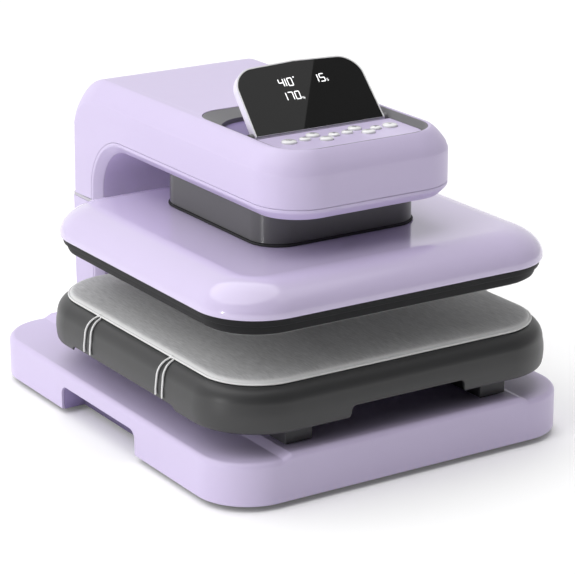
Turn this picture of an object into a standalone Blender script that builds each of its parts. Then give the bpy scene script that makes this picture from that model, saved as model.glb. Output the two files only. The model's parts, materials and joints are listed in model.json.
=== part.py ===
"""Countertop heat press with a motor-driven upper platen and a pull-out lower tray.

Metres, +Z up. The front, where the display and the tray's finger recess are,
faces -Y. The origin lies on the floor under the middle of the base.
"""
import math

import bmesh
import bpy
from mathutils import Matrix, Vector

MM = 0.001
GAP = 0.3                 # clearance between touching pieces, mm
ARC = 8                   # segments in a quarter turn

# Base, mm
BASE_HALF = 213.7
BASE_DEPTH_HALF = 255.35
BASE_R = 58.0
BASE_LOW = 6.0
BASE_TOP = 50.6
BASE_EDGE = 5.0
WALL = 3.0
PLATFORM_HALF = 140.0
PLATFORM_FLARE = 10.0
PLATFORM_TOP = 55.0
NOTCH_Y = (-70.4, 88.7)
NOTCH_TOP = 33.0
NOTCH_DEPTH = 28.0
NOTCH_R = 10.0
PLATE_LOW = 4.0

# Heated area, lower tray and its pad, mm
PAD_HALF = 195.0
PAD_Y = (-239.6, 150.7)
PAD_R = 62.0
TRAY_OUT = 13.5
TRAY_LOW = 76.0
TRAY_TOP = 122.0
TRAY_WALL = 4.0
TRAY_WIDEST = 90.0
TRAY_LEAN = 1.5                # how far the wall leans in below the rim
TRAY_SHOULDER = (19.0, 19.0)   # inward and downward reach of the tray's rounded rim
PAD_TOP = 128.0
RUNNER_X = (103.0, 135.0)
RUNNER_LOW = 56.0
RUNNER_Y = (-234.0, 148.0)
RAIL_X = (110.0, 128.0)
RAIL_TOP = 63.3

# Upper platen, mm
COVER_HALF = 202.65
COVER_Y = (-248.4, 153.7)
COVER_R = 66.7
COVER_LOW = 191.8
COVER_TOP = 223.6
COVER_SHOULDER = (40.0, 27.0)
BAND_LOW = 175.4
HEATER_HALF = 190.5
HEATER_LOW = 173.4
HEATER_TOP = 185.0
PLATEN_PLATE_TOP = 193.0

# Telescopic sleeve and the lift inside it, mm
SLEEVE_HALF = 95.9
SLEEVE_Y = (-140.0, 78.6)
SLEEVE_R = 33.7
SLEEVE_TOP = 312.0
SLEEVE_WALL = 2.5
LIFT_Y = -45.0
ROD_X = 62.0
SCREW_R = 6.0
MOTOR_OFFSET = 35.9
GEAR_LOW = 300.0
GEAR_HIGH = 308.0

# Arm, column and head, mm
ARM_HALF = 112.65
ARM_FRONT = -192.1
ARM_BACK = 245.7
ARM_TOP = 332.0
ARM_R = 52.0
ARM_BACK_R = 55.0
ARM_SHOULDER = 16.0
SEAM_Z = 275.5
SEAM_Y = 199.9
ARCH_R = 68.0
RIM = 3.8                 # liner's upright rim below the seam
CHAMFER = 8.5
STRIP_Z = (193.3, 196.7)
HEAD_PLATE_LOW = 313.0
HEAD_PLATE_TOP = 317.0
FRAME_X = (101.5, 104.5)

# Control well and display, mm and degrees
WELL_HALF = 92.0
WELL_Y = (-175.0, 13.6)
WELL_R = (37.0, 30.0)
WELL_FLOOR = (318.5, 321.0)
DECK_HALF = 85.0
DECK_Y = (-171.0, -91.6)
DECK_Z = (321.3, 325.3)
BUTTON_TOP = 326.8
BUTTONS = (                     # name, x, y, radius
    ("power_button", -57.0, -119.5, 8.0),
    ("temperature_left_button", -37.5, -118.5, 6.0),
    ("temperature_up_button", -22.5, -109.5, 7.2),
    ("temperature_down_button", -18.0, -128.5, 7.2),
    ("temperature_right_button", -3.0, -119.0, 6.0),
    ("time_left_button", 13.5, -118.5, 6.0),
    ("time_up_button", 28.5, -109.5, 7.2),
    ("time_down_button", 33.0, -128.5, 7.2),
    ("time_right_button", 48.0, -119.5, 6.0),
    ("start_button", 66.0, -119.0, 8.0),
)
DISPLAY_AXIS = (-86.57, 326.1)
DISPLAY_TILT = 47.5
DISPLAY_HALF = 79.0
DISPLAY_LONG = 78.5
DISPLAY_THICK = 9.0
DISPLAY_R = 29.0
DISPLAY_NARROWING = 3.0
DISPLAY_ARCH = 3.5
PIN_R = 1.5

# Mains inlet and switch on the back of the column, mm
INLET_X = -60.0
INLET_Z = (84.0, 132.0)
INLET_HALF = 15.0

LILAC = (0.70, 0.64, 0.86)
DARK_GREY = (0.055, 0.055, 0.06)
BLACK = (0.012, 0.012, 0.013)
STEEL = (0.55, 0.56, 0.58)

PARTS = None
CUTTERS = None


def clear_scene():
    for obj in list(bpy.data.objects):
        bpy.data.objects.remove(obj, do_unlink=True)


def new_collection(name):
    group = bpy.data.collections.new(name)
    bpy.context.scene.collection.children.link(group)
    return group


def paint(obj, colour, roughness, metallic=0.0):
    """Give an object its own Principled material."""
    finish = bpy.data.materials.new(obj.name + "_finish")
    finish.use_nodes = True
    shader = finish.node_tree.nodes["Principled BSDF"]
    shader.inputs["Base Color"].default_value = (*colour, 1.0)
    shader.inputs["Roughness"].default_value = roughness
    shader.inputs["Metallic"].default_value = metallic
    obj.data.materials.clear()
    obj.data.materials.append(finish)
    return obj


# ---------------------------------------------------------------- outlines, in mm

def arc(cx, cy, radius, start, end, steps=ARC):
    """Points from start to end degrees about (cx, cy), both ends included."""
    angles = [math.radians(start + (end - start) * i / steps) for i in range(steps + 1)]
    return [(cx + radius * math.cos(a), cy + radius * math.sin(a)) for a in angles]


def rounded(half, y0, y1, front_r, back_r, inset=0.0):
    """Rounded rectangle centred on x = 0, corners turned about their own centres."""
    h, low, high = half - inset, y0 + inset, y1 - inset
    fr, br = max(front_r - inset, 0.5), max(back_r - inset, 0.5)
    return (arc(-h + fr, low + fr, fr, 180, 270) + arc(h - fr, low + fr, fr, 270, 360)
            + arc(h - br, high - br, br, 0, 90) + arc(-h + br, high - br, br, 90, 180))


def box_outline(x0, x1, y0, y1):
    return [(x0, y0), (x1, y0), (x1, y1), (x0, y1)]


def circle(cx, cy, radius, steps=24):
    return arc(cx, cy, radius, 0, 360, steps)[:-1]


def toothed(cx, cy, tip, root, teeth):
    """A spur gear's outline with plain tapered teeth."""
    points = []
    for i in range(teeth):
        for share, radius in ((0.0, root), (0.18, tip), (0.42, tip), (0.6, root)):
            turn = 2 * math.pi * (i + share) / teeth
            points.append((cx + radius * math.cos(turn), cy + radius * math.sin(turn)))
    return points


# ---------------------------------------------------------------- solids

AXES = {
    "Z": Matrix(((1, 0, 0), (0, 1, 0), (0, 0, 1))),
    "X": Matrix(((0, 0, 1), (1, 0, 0), (0, 1, 0))),
    "Y": Matrix(((1, 0, 0), (0, 0, -1), (0, 1, 0))),
}


def place(name, mesh, cutter=False):
    obj = bpy.data.objects.new(name, mesh)
    (CUTTERS if cutter else PARTS).objects.link(obj)
    if cutter:
        obj.hide_render = True
        obj.display_type = "WIRE"
    return obj


def prism(name, outlines, low, high, axis="Z", cutter=False):
    """Flat outlines (the first outer, the rest holes) drawn out from low to high.

    Along X the outline is (y, z); along Y it is (x, z); along Z it is (x, y).
    """
    curve = bpy.data.curves.new(name, "CURVE")
    curve.dimensions = "2D"
    curve.fill_mode = "BOTH"
    curve.extrude = (high - low) * MM / 2
    for outline in outlines:
        spline = curve.splines.new("POLY")
        spline.points.add(len(outline) - 1)
        for point, (u, v) in zip(spline.points, outline):
            point.co = (u * MM, v * MM, 0.0, 1.0)
        spline.use_cyclic_u = True
    flat = bpy.data.objects.new(name + "_outline", curve)
    bpy.context.scene.collection.objects.link(flat)
    bpy.context.view_layer.update()
    mesh = bpy.data.meshes.new_from_object(flat.evaluated_get(bpy.context.evaluated_depsgraph_get()))
    bpy.data.objects.remove(flat, do_unlink=True)
    mid = (low + high) * MM / 2
    turn = AXES[axis].to_4x4()
    side = -1 if axis == "Y" else 1
    turn.translation = AXES[axis] @ Vector((0, 0, mid * side))
    bm = bmesh.new()
    bm.from_mesh(mesh)
    bmesh.ops.remove_doubles(bm, verts=bm.verts, dist=1e-6)
    bmesh.ops.transform(bm, matrix=turn, verts=bm.verts)
    bmesh.ops.dissolve_limit(bm, angle_limit=0.001, verts=bm.verts, edges=bm.edges)
    bmesh.ops.recalc_face_normals(bm, faces=bm.faces)
    bm.to_mesh(mesh)
    bm.free()
    mesh.name = name
    return place(name, mesh, cutter)


def stack(name, rings, cutter=False):
    """A closed loft through level outlines, each given as (z, points)."""
    bm = bmesh.new()
    loops = [[bm.verts.new((x * MM, y * MM, z * MM)) for x, y in points] for z, points in rings]
    count = len(loops[0])
    for lower, upper in zip(loops, loops[1:]):
        for i in range(count):
            j = (i + 1) % count
            bm.faces.new((lower[i], lower[j], upper[j], upper[i]))
    bm.faces.new(list(reversed(loops[0])))
    bm.faces.new(loops[-1])
    bmesh.ops.recalc_face_normals(bm, faces=bm.faces)
    mesh = bpy.data.meshes.new(name)
    bm.to_mesh(mesh)
    bm.free()
    return place(name, mesh, cutter)


def rod(name, x, y, radius, low, high, steps=24, cutter=False):
    return prism(name, [circle(x, y, radius, steps)], low, high, "Z", cutter)


def block(name, x, y, z, cutter=False):
    return prism(name, [box_outline(*x, *y)], *z, "Z", cutter)


def boolean(obj, other, operation):
    change = obj.modifiers.new(operation.lower() + "_" + other.name, "BOOLEAN")
    change.operation = operation
    change.solver = "EXACT"
    change.object = other
    return obj


def cut(obj, *cutters):
    for other in cutters:
        boolean(obj, other, "DIFFERENCE")
    return obj


def join(obj, *others):
    for other in others:
        boolean(obj, other, "UNION")
    return obj


def soften(obj, width, segments=2, angle=40):
    """Round the edges sharper than the angle."""
    bevel = obj.modifiers.new("soft_edges", "BEVEL")
    bevel.width = width * MM
    bevel.segments = segments
    bevel.limit_method = "ANGLE"
    bevel.angle_limit = math.radians(angle)
    return obj


def smooth(*objects):
    for obj in objects:
        obj.data.shade_smooth()
        obj.data.set_sharp_from_angle(angle=math.radians(32))


def bevel_where(obj, test, width, segments):
    """Bevel the mesh edges whose pair of face normals and middle pass the test."""
    bm = bmesh.new()
    bm.from_mesh(obj.data)
    chosen = []
    for edge in bm.edges:
        if len(edge.link_faces) == 2:
            one, two = (face.normal for face in edge.link_faces)
            middle = (edge.verts[0].co + edge.verts[1].co) / 2
            if test(one, two, middle) or test(two, one, middle):
                chosen.append(edge)
    bmesh.ops.bevel(bm, geom=chosen, offset=width * MM, offset_type="OFFSET", segments=segments,
                    profile=0.5, affect="EDGES", clamp_overlap=False)
    bmesh.ops.recalc_face_normals(bm, faces=bm.faces)
    bm.to_mesh(obj.data)
    bm.free()
    return obj


def pivot(name, x, y, z, *pieces):
    """An empty on a joint's axis that carries the pieces that move with it."""
    empty = bpy.data.objects.new(name, None)
    empty.location = (x * MM, y * MM, z * MM)
    PARTS.objects.link(empty)
    for piece in pieces:
        piece.parent = empty
        piece.location = -empty.location
    return empty


# ---------------------------------------------------------------- base

def base_outline(inset=0.0):
    return rounded(BASE_HALF, -BASE_DEPTH_HALF, BASE_DEPTH_HALF, BASE_R, BASE_R, inset)


def notch_outline(grow=0.0):
    """The side hand hold, seen from the side, open to the floor."""
    y0, y1, top, r = NOTCH_Y[0] - grow, NOTCH_Y[1] + grow, NOTCH_TOP + grow, NOTCH_R + grow
    corner_back = arc(y1 - r, top - r, r, 0, 90)
    corner_front = arc(y0 + r, top - r, r, 90, 180)
    return [(y0, -5.0), (y1, -5.0)] + corner_back + corner_front


def make_base():
    shell = soften(prism("base_shell", [base_outline()], BASE_LOW, BASE_TOP), BASE_EDGE, 3)
    wide = PLATFORM_HALF + PLATFORM_FLARE * (PLATFORM_TOP - 40.0) / (PLATFORM_TOP - BASE_TOP)
    ramp = [(-wide, 40.0), (wide, 40.0), (PLATFORM_HALF, PLATFORM_TOP), (-PLATFORM_HALF, PLATFORM_TOP)]
    deck = soften(prism("platform_form", [base_outline()], 30.0, PLATFORM_TOP, cutter=True), BASE_EDGE, 3)
    boolean(deck, prism("platform_sides", [ramp], -300.0, 300.0, "Y", cutter=True), "INTERSECT")
    join(shell, deck)
    hollow = prism("base_hollow", [base_outline(WALL)], 0.0, BASE_TOP - WALL, cutter=True)
    for side, name in ((-1, "left"), (1, "right")):
        x_in, x_out = BASE_HALF - NOTCH_DEPTH, BASE_HALF + 10.0
        wall = sorted((side * (x_in - WALL), side * x_out))
        hole = sorted((side * x_in, side * x_out))
        cut(hollow, prism(f"hand_wall_{name}", [notch_outline(WALL)], *wall, "X", cutter=True))
        hand = prism(f"hand_hold_{name}", [notch_outline()], *hole, "X", cutter=True)
        cut(shell, hand)
    cut(shell, hollow)
    cut(shell, block("frame_opening", (-108.0, 108.0), (190.0, 241.0), (30.0, 70.0), cutter=True))
    plate_holes = [block(f"plate_notch_{n}", sorted((s * (BASE_HALF - NOTCH_DEPTH - WALL), s * 260.0)),
                         (NOTCH_Y[0] - WALL, NOTCH_Y[1] + WALL), (-1.0, 10.0), cutter=True)
                   for s, n in ((-1, "left"), (1, "right"))]
    plate = cut(prism("base_plate", [base_outline(8.0)], PLATE_LOW, BASE_LOW - GAP), *plate_holes)
    paint(shell, LILAC, 0.35)
    paint(plate, DARK_GREY, 0.5, 0.6)
    for x, side in ((-165.0, "left"), (165.0, "right")):
        for y, end in ((-205.0, "front"), (205.0, "rear")):
            foot = rod(f"foot_{end}_{side}", x, y, 16.0, 0.0, PLATE_LOW - GAP, 20)
            smooth(paint(foot, BLACK, 0.85))
        rail_x = sorted((math.copysign(RAIL_X[0], x), math.copysign(RAIL_X[1], x)))
        rail = block(f"slide_rail_{side}", rail_x, (-222.0, 148.0), (PLATFORM_TOP + GAP, RAIL_TOP))
        paint(rail, STEEL, 0.35, 1.0)


# ---------------------------------------------------------------- lower tray

def tray_outline(inset=0.0):
    return rounded(PAD_HALF + TRAY_OUT, PAD_Y[0] - TRAY_OUT, PAD_Y[1] + TRAY_OUT,
                   PAD_R + TRAY_OUT, PAD_R + TRAY_OUT, inset)


def shoulder(top, reach_in, reach_down, steps, lean=TRAY_LEAN):
    """(z, inset) pairs up a rounded rim: a quarter ellipse that leans in slightly."""
    pairs = []
    for i in range(steps + 1):
        turn = math.radians(90.0 * i / steps)
        pairs.append((top - reach_down * (1 - math.sin(turn)),
                      lean + (reach_in - lean) * (1 - math.cos(turn))))
    return pairs


def tray_side(z):
    """How far the tray's wall stands in from its widest line at height z."""
    reach_in, reach_down = TRAY_SHOULDER
    foot = TRAY_TOP - reach_down
    if z < foot:
        return TRAY_LEAN * max(0.0, (z - TRAY_WIDEST) / (foot - TRAY_WIDEST))
    share = (z - foot) / reach_down
    return TRAY_LEAN + (reach_in - TRAY_LEAN) * (1 - math.sqrt(1 - share * share))


def loop_strand(y, top_y):
    """Points of one elastic strand, from the wall's foot up over the rim to the pad."""
    points = []
    for z in (84.0, 94.0, 103.0, 109.0, 113.5, 117.0, 119.7, 121.4):
        share = (z - 84.0) / (121.4 - 84.0)
        x = PAD_HALF + TRAY_OUT - tray_side(z) + 1.6 + 1.1 * share
        points.append((x, y + (top_y - y) * share ** 2, z + 1.6 * share ** 2))
    return points


def pad_loop(name, side, middle):
    """Elastic loop: two strands that lean forward and meet where they enter the pad's edge."""
    meet = middle - 2.6
    up = loop_strand(middle + 6.5, meet + 1.6)
    down = loop_strand(middle - 6.5, meet - 1.6)
    end = PAD_HALF - 1.0 + 3.6
    points = up + [(end, meet + 1.0, 124.6), (end, meet - 1.0, 124.6)] + down[::-1]
    curve = bpy.data.curves.new(name, "CURVE")
    curve.dimensions = "3D"
    curve.bevel_depth = 1.0 * MM
    curve.bevel_resolution = 1
    curve.use_fill_caps = True
    spline = curve.splines.new("POLY")
    spline.points.add(len(points) - 1)
    for point, (x, y, z) in zip(spline.points, points):
        point.co = (side * x * MM, y * MM, z * MM, 1.0)
    return paint(place(name, curve), (0.85, 0.85, 0.85), 0.8)


def make_tray():
    reach_in, reach_down = TRAY_SHOULDER
    rings = [(TRAY_LOW, tray_outline(3.0)), (TRAY_LOW + 2.5, tray_outline(0.8)),
             (TRAY_WIDEST, tray_outline(0.0))]
    rings += [(z, tray_outline(i)) for z, i in shoulder(TRAY_TOP, reach_in, reach_down, 6)]
    tray = stack("tray_housing", rings)
    inside = [(60.0, tray_outline(TRAY_WALL)), (TRAY_WIDEST, tray_outline(TRAY_WALL))]
    inside += [(z, tray_outline(i + TRAY_WALL))
               for z, i in shoulder(TRAY_TOP - TRAY_WALL, reach_in - 3.0, reach_down - 3.0, 4)]
    cut(tray, stack("tray_hollow", inside, cutter=True))
    side_dip = [(-144.0, 60.0), (74.0, 60.0), (74.0, 76.0), (68.0, 82.0), (-138.0, 82.0), (-144.0, 76.0)]
    cut(tray, prism("tray_side_dip", [side_dip], -260.0, 260.0, "X", cutter=True))
    finger = [(-69.0, 60.0), (69.0, 60.0)] + arc(63.0, 83.5, 6.0, 0, 90, 4)
    finger += arc(-63.0, 83.5, 6.0, 90, 180, 4)
    cut(tray, prism("finger_recess", [finger], -270.0, -228.0, "Y", cutter=True))
    plate = prism("tray_plate", [rounded(198.0, -215.0, 154.0, 60.0, 66.0)], TRAY_LOW, TRAY_LOW + 2.0)
    pad = prism("press_pad", [rounded(PAD_HALF, *PAD_Y, PAD_R, PAD_R)], TRAY_TOP + GAP, PAD_TOP)
    soften(pad, 1.5, 1)
    smooth(tray, pad)
    pieces = [tray, plate, pad]
    paint(tray, DARK_GREY, 0.45)
    paint(plate, STEEL, 0.4, 1.0)
    paint(pad, (0.24, 0.24, 0.25), 0.9)
    for side, name in ((-1, "left"), (1, "right")):
        runner = block(f"tray_runner_{name}", sorted(side * x for x in RUNNER_X), RUNNER_Y,
                       (RUNNER_LOW, TRAY_LOW - GAP))
        channel_x = sorted((side * (RAIL_X[0] - 0.6), side * (RAIL_X[1] + 0.6)))
        cut(runner, block(f"runner_channel_{name}", channel_x, (-224.0, 200.0),
                          (50.0, RAIL_TOP + GAP), cutter=True))
        pieces.append(paint(runner, BLACK, 0.6))
        for middle, end in ((-116.0, "front"), (35.0, "rear")):
            pieces.append(pad_loop(f"pad_loop_{end}_{name}", side, middle))
    pivot("tray_slide", 0.0, PAD_Y[0], RAIL_TOP, *pieces)


# ---------------------------------------------------------------- upper platen

def cover_outline(inset=0.0):
    return rounded(COVER_HALF, *COVER_Y, COVER_R, COVER_R, inset)


def cover_rings(offset):
    """The domed cover's levels, moved inwards by the offset."""
    reach_in, reach_down = COVER_SHOULDER
    low = [(COVER_LOW - (20.0 if offset else 0.0), cover_outline(1.2 + offset)),
           (COVER_LOW + 1.5, cover_outline(offset))]
    dome = [(z - offset, cover_outline(i + offset))
            for z, i in shoulder(COVER_TOP, reach_in, reach_down, 7, 0.2)]
    return low + dome


def sleeve_outline(inset=0.0):
    return rounded(SLEEVE_HALF, *SLEEVE_Y, SLEEVE_R, SLEEVE_R, inset)


def make_platen():
    cover = stack("platen_cover", cover_rings(0.0))
    cut(cover, stack("cover_hollow", cover_rings(WALL), cutter=True))
    cut(cover, prism("cover_opening", [sleeve_outline(6.0)], 210.0, 240.0, cutter=True))
    band = stack("platen_band", [
        (BAND_LOW, cover_outline(9.4)), (178.0, cover_outline(7.6)), (184.0, cover_outline(6.2)),
        (184.6, cover_outline(3.4)), (COVER_LOW - GAP, cover_outline(2.2))])
    cut(band, prism("band_hollow", [cover_outline(11.75)], 160.0, 200.0, cutter=True))
    heater_inset = COVER_HALF - HEATER_HALF
    heater = prism("heating_plate", [cover_outline(heater_inset)], HEATER_LOW, HEATER_TOP)
    soften(heater, 0.8, 1)
    insulation = prism("insulation_board", [cover_outline(14.5)], HEATER_TOP + GAP, 190.0)
    carrier = prism("platen_carrier", [cover_outline(22.0)], 190.0 + GAP, PLATEN_PLATE_TOP)
    join(carrier, rod("nut_tower", 0.0, LIFT_Y, 14.0, 191.0, 268.0, cutter=True))
    cut(carrier, rod("tower_bore", 0.0, LIFT_Y, 8.0, 194.0, 280.0, cutter=True))
    nut = prism("lift_nut", [circle(0.0, LIFT_Y, 14.0), circle(0.0, LIFT_Y, SCREW_R + 0.4)],
                268.0 + GAP, 286.0)
    flange = prism("sleeve_flange", [sleeve_outline(-1.8), sleeve_outline(SLEEVE_WALL)],
                   COVER_TOP + GAP, COVER_TOP + 2.8)
    sleeve = prism("sleeve", [sleeve_outline(), sleeve_outline(SLEEVE_WALL)],
                   COVER_TOP + 2.8 + GAP, SLEEVE_TOP)
    pieces = [cover, band, heater, insulation, carrier, nut, flange, sleeve]
    for side, name in ((-1, "left"), (1, "right")):
        guide = rod(f"guide_rod_{name}", side * ROD_X, LIFT_Y, 6.0, PLATEN_PLATE_TOP + GAP, 311.5)
        pieces.append(paint(guide, STEEL, 0.2, 1.0))
        smooth(guide)
    smooth(cover, band, nut, flange, sleeve)
    paint(cover, LILAC, 0.2)
    paint(band, BLACK, 0.4)
    paint(heater, (0.6, 0.6, 0.6), 0.4, 1.0)
    paint(insulation, (0.75, 0.73, 0.66), 0.95)
    paint(carrier, STEEL, 0.45, 1.0)
    paint(nut, (0.7, 0.5, 0.2), 0.35, 1.0)
    paint(flange, BLACK, 0.6)
    paint(sleeve, DARK_GREY, 0.35)
    pivot("platen_slide", 0.0, LIFT_Y, COVER_TOP, *pieces)


# ---------------------------------------------------------------- arm, column and throat

def lower_edge(grow, low):
    """The seam under the arm and down the column's front, moved out of the throat by grow.

    It runs from the head's front back to the arch, round it and down to the low end.
    """
    centre_y, centre_z = SEAM_Y - ARCH_R, SEAM_Z - ARCH_R
    curve = arc(centre_y, centre_z, ARCH_R + grow, 90, 0)
    return [(ARM_FRONT - 20.0, SEAM_Z + grow)] + curve + [(SEAM_Y + grow, low)]


def arm_form(name, inset, low, cutter=False):
    """The arm's and upper column's outer form, or its inside when inset."""
    front, back, top = ARM_FRONT + inset, ARM_BACK - inset, ARM_TOP - inset
    radius = ARM_BACK_R - inset
    under = lower_edge(-30.0 if cutter else 0.0, low)
    profile = ([(front, under[0][1])] + under[1:] + [(back, low)]
               + arc(back - radius, top - radius, radius, 0, 90) + [(front, top)])
    obj = prism(name, [profile], -(ARM_HALF - inset), ARM_HALF - inset, "X", cutter)
    bevel_where(obj, lambda a, b, m: a.y < -0.99 and abs(b.x) > 0.99 and m.y < -0.1, ARM_R - inset, 8)
    bevel_where(obj, lambda a, b, m: abs(a.x) > 0.99 and abs(b.x) < 0.1 and (b.y > 0.99), 5.0, 2)
    bevel_where(obj, lambda a, b, m: a.z > 0.3 and abs(a.x) < 0.05 and abs(b.z) < 0.3 and a.y > -0.05
                and (abs(b.x) > 0.05 or b.y < -0.9), ARM_SHOULDER - inset / 2, 3)
    return obj


def liner_form(name, inset, cutter=False):
    """The chamfered closing shell under the arm and down the column's front."""
    low = PLATFORM_TOP + GAP - (20.0 if cutter else 0.0)
    inner = lower_edge(-(RIM + CHAMFER - inset), low)
    outer = lower_edge(10.0 if cutter else -GAP, low)
    front = ARM_FRONT + inset
    profile = [(front, inner[0][1])] + inner[1:] + outer[:0:-1] + [(front, outer[0][1])]
    obj = prism(name, [profile], -(ARM_HALF - inset), ARM_HALF - inset, "X", cutter)
    bevel_where(obj, lambda a, b, m: a.y < -0.99 and abs(b.x) > 0.99 and m.y < -0.1, ARM_R - inset, 8)

    def underside(normal, middle):
        facing_throat = normal.z < -0.3 or (normal.y < -0.3 and middle.y > 0.1)
        return facing_throat and abs(normal.x) < 0.05 and middle.z < (SEAM_Z - 4.0) * MM

    bevel_where(obj, lambda a, b, m: underside(a, m) and (abs(b.x) > 0.05 or (b.y < -0.9 and m.y < -0.1)),
                CHAMFER - inset * 0.4, 1)
    return obj


def u_outline(wall, grow=0.0):
    """Plan of the column's back and sides, open to the throat."""
    half, front, back, r = ARM_HALF - grow, SEAM_Y, ARM_BACK - grow, 5.0
    outer = [(half, front)] + arc(half - r, back - r, r, 0, 90, 3) + arc(-half + r, back - r, r, 90, 180, 3)
    inner = [(-half + wall, front), (-half + wall, back - wall)]
    inner += [(half - wall, back - wall), (half - wall, front)]
    return outer + [(-half, front)] + inner


def make_arm():
    arm = arm_form("arm_shell", 0.0, STRIP_Z[1] + GAP)
    cut(arm, arm_form("arm_hollow", WALL, 150.0, cutter=True))
    cut(arm, prism("well_opening", [rounded(WELL_HALF, *WELL_Y, *WELL_R)], 322.0, 350.0, cutter=True))
    column = prism("column_shell", [u_outline(WALL)], PLATFORM_TOP + GAP, STRIP_Z[0] - GAP)
    inlet_hole = box_outline(INLET_X - INLET_HALF - GAP, INLET_X + INLET_HALF + GAP,
                             INLET_Z[0] - GAP, INLET_Z[1] + GAP)
    cut(column, prism("inlet_opening", [inlet_hole], 235.0, 260.0, "Y", cutter=True))
    strip = prism("seam_strip", [u_outline(WALL, 0.4)], *STRIP_Z)
    liner = liner_form("throat_liner", 0.0)
    cut(liner, liner_form("liner_hollow", WALL, cutter=True))
    cut(liner, prism("sleeve_opening", [sleeve_outline(-1.2)], 250.0, 275.0, cutter=True))
    paint(arm, LILAC, 0.3)
    paint(column, LILAC, 0.3)
    paint(strip, (0.35, 0.34, 0.38), 0.5)
    paint(liner, LILAC, 0.35)
    smooth(arm, liner)


def make_frame():
    """Steel press frame: two side plates joined by the head plate and a back plate."""
    side_profile = [(-132.0, 279.0), (196.0, 279.0), (205.0, 268.0), (205.0, 9.0), (230.0, 9.0),
                    (230.0, 298.0), (212.0, 312.5), (-132.0, 312.5)]
    for side, name in ((-1, "left"), (1, "right")):
        plate = prism(f"frame_side_{name}", [side_profile], *sorted(side * x for x in FRAME_X), "X")
        paint(plate, STEEL, 0.5, 1.0)
    inner = FRAME_X[0] - GAP
    head = prism("head_plate", [box_outline(-FRAME_X[1], FRAME_X[1], -132.0, 100.0),
                                circle(0.0, LIFT_Y, 5.4)], HEAD_PLATE_LOW, HEAD_PLATE_TOP)
    join(head, prism("bearing_form", [circle(0.0, LIFT_Y, 14.0), circle(0.0, LIFT_Y, 5.4)],
                     308.6, HEAD_PLATE_LOW + 1.0, cutter=True))
    back = prism("frame_back_plate", [box_outline(-inner, inner, 20.0, 300.0)], 226.0, 230.0, "Y")
    paint(head, STEEL, 0.5, 1.0)
    paint(back, STEEL, 0.5, 1.0)
    board = block("control_board", (-70.0, 60.0), (214.0, 215.6), (100.0, 190.0))
    join(board, block("transformer_form", (-40.0, 0.0), (206.0, 214.5), (120.0, 155.0), cutter=True))
    paint(board, (0.02, 0.16, 0.07), 0.5)


# ---------------------------------------------------------------- lift drive

def make_lift():
    for side, name in ((-1, "left"), (1, "right")):
        x = side * ROD_X
        bush = prism(f"guide_bush_{name}", [circle(x, LIFT_Y, 11.0), circle(x, LIFT_Y, 6.4)],
                     246.0, HEAD_PLATE_LOW - GAP)
        smooth(paint(bush, (0.7, 0.5, 0.2), 0.4, 1.0))
    screw = rod("lift_screw", 0.0, LIFT_Y, SCREW_R, 226.0, GEAR_LOW + 4.0)
    join(screw, rod("screw_journal", 0.0, LIFT_Y, 5.0, GEAR_LOW, 316.5, cutter=True))
    gear = prism("screw_gear", [toothed(0.0, LIFT_Y, 27.9, 25.6, 40), circle(0.0, LIFT_Y, SCREW_R + GAP)],
                 GEAR_LOW, GEAR_HIGH)
    motor_y = LIFT_Y + MOTOR_OFFSET
    pinion = prism("motor_pinion", [toothed(0.0, motor_y, 7.6, 5.4, 10)], GEAR_LOW, GEAR_HIGH)
    join(pinion, rod("motor_shaft", 0.0, motor_y, 3.0, 292.6, GEAR_LOW + 2.0, cutter=True))
    motor = rod("lift_motor", 0.0, motor_y, 21.0, 243.0, 292.2, 28)
    bracket_z = (284.0, HEAD_PLATE_LOW - GAP)
    join(motor, block("motor_bracket", (-14.0, 14.0), (2.0, 16.0), bracket_z, cutter=True))
    cut(motor, rod("pinion_room", 0.0, motor_y, 9.5, 292.3, 320.0, cutter=True))
    smooth(paint(screw, STEEL, 0.25, 1.0), paint(motor, (0.1, 0.1, 0.11), 0.4, 0.7))
    paint(gear, (0.75, 0.74, 0.7), 0.5)
    paint(pinion, STEEL, 0.35, 1.0)
    pivot("screw_turn", 0.0, LIFT_Y, GEAR_LOW, screw, gear)
    pivot("pinion_turn", 0.0, motor_y, GEAR_LOW, pinion)


# ---------------------------------------------------------------- controls and display

def make_controls():
    rim = rounded(WELL_HALF, *WELL_Y, *WELL_R, GAP)
    liner = prism("well_liner", [rim], WELL_FLOOR[0], ARM_TOP - 0.4)
    room = rounded(WELL_HALF, *WELL_Y, *WELL_R, 2.4)
    cut(liner, prism("well_room", [room], WELL_FLOOR[1], 350.0, cutter=True))
    axis_y, axis_z = DISPLAY_AXIS
    for side, name in ((-1, "left"), (1, "right")):
        lug_x = sorted((side * (DISPLAY_HALF + 0.6), side * (DISPLAY_HALF + 4.6)))
        join(liner, block(f"hinge_lug_{name}", lug_x, (axis_y - 3.5, axis_y + 4.0),
                          (WELL_FLOOR[1] - 1.0, axis_z + 4.0), cutter=True))
    cut(liner, prism("pin_bore", [circle(axis_y, axis_z, PIN_R + GAP, 16)],
                     -DISPLAY_HALF - 6.0, DISPLAY_HALF + 6.0, "X", cutter=True))
    paint(liner, DARK_GREY, 0.4)
    pin = prism("display_hinge_pin", [circle(axis_y, axis_z, PIN_R, 16)],
                -DISPLAY_HALF - 4.4, DISPLAY_HALF + 4.4, "X")
    smooth(paint(pin, STEEL, 0.25, 1.0))
    wells = [circle(x, y, r + 0.4, 20) for _, x, y, r in BUTTONS]
    deck = prism("button_deck", [rounded(DECK_HALF, *DECK_Y, 30.0, 2.0)] + wells, *DECK_Z)
    paint(deck, LILAC, 0.3)
    for name, x, y, r in BUTTONS:
        button = soften(rod(name, x, y, r, 322.2, BUTTON_TOP, 20), 0.8, 1)
        smooth(paint(button, (0.85, 0.85, 0.85), 0.15))
        pivot(name + "_travel", x, y, BUTTON_TOP, button)


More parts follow.
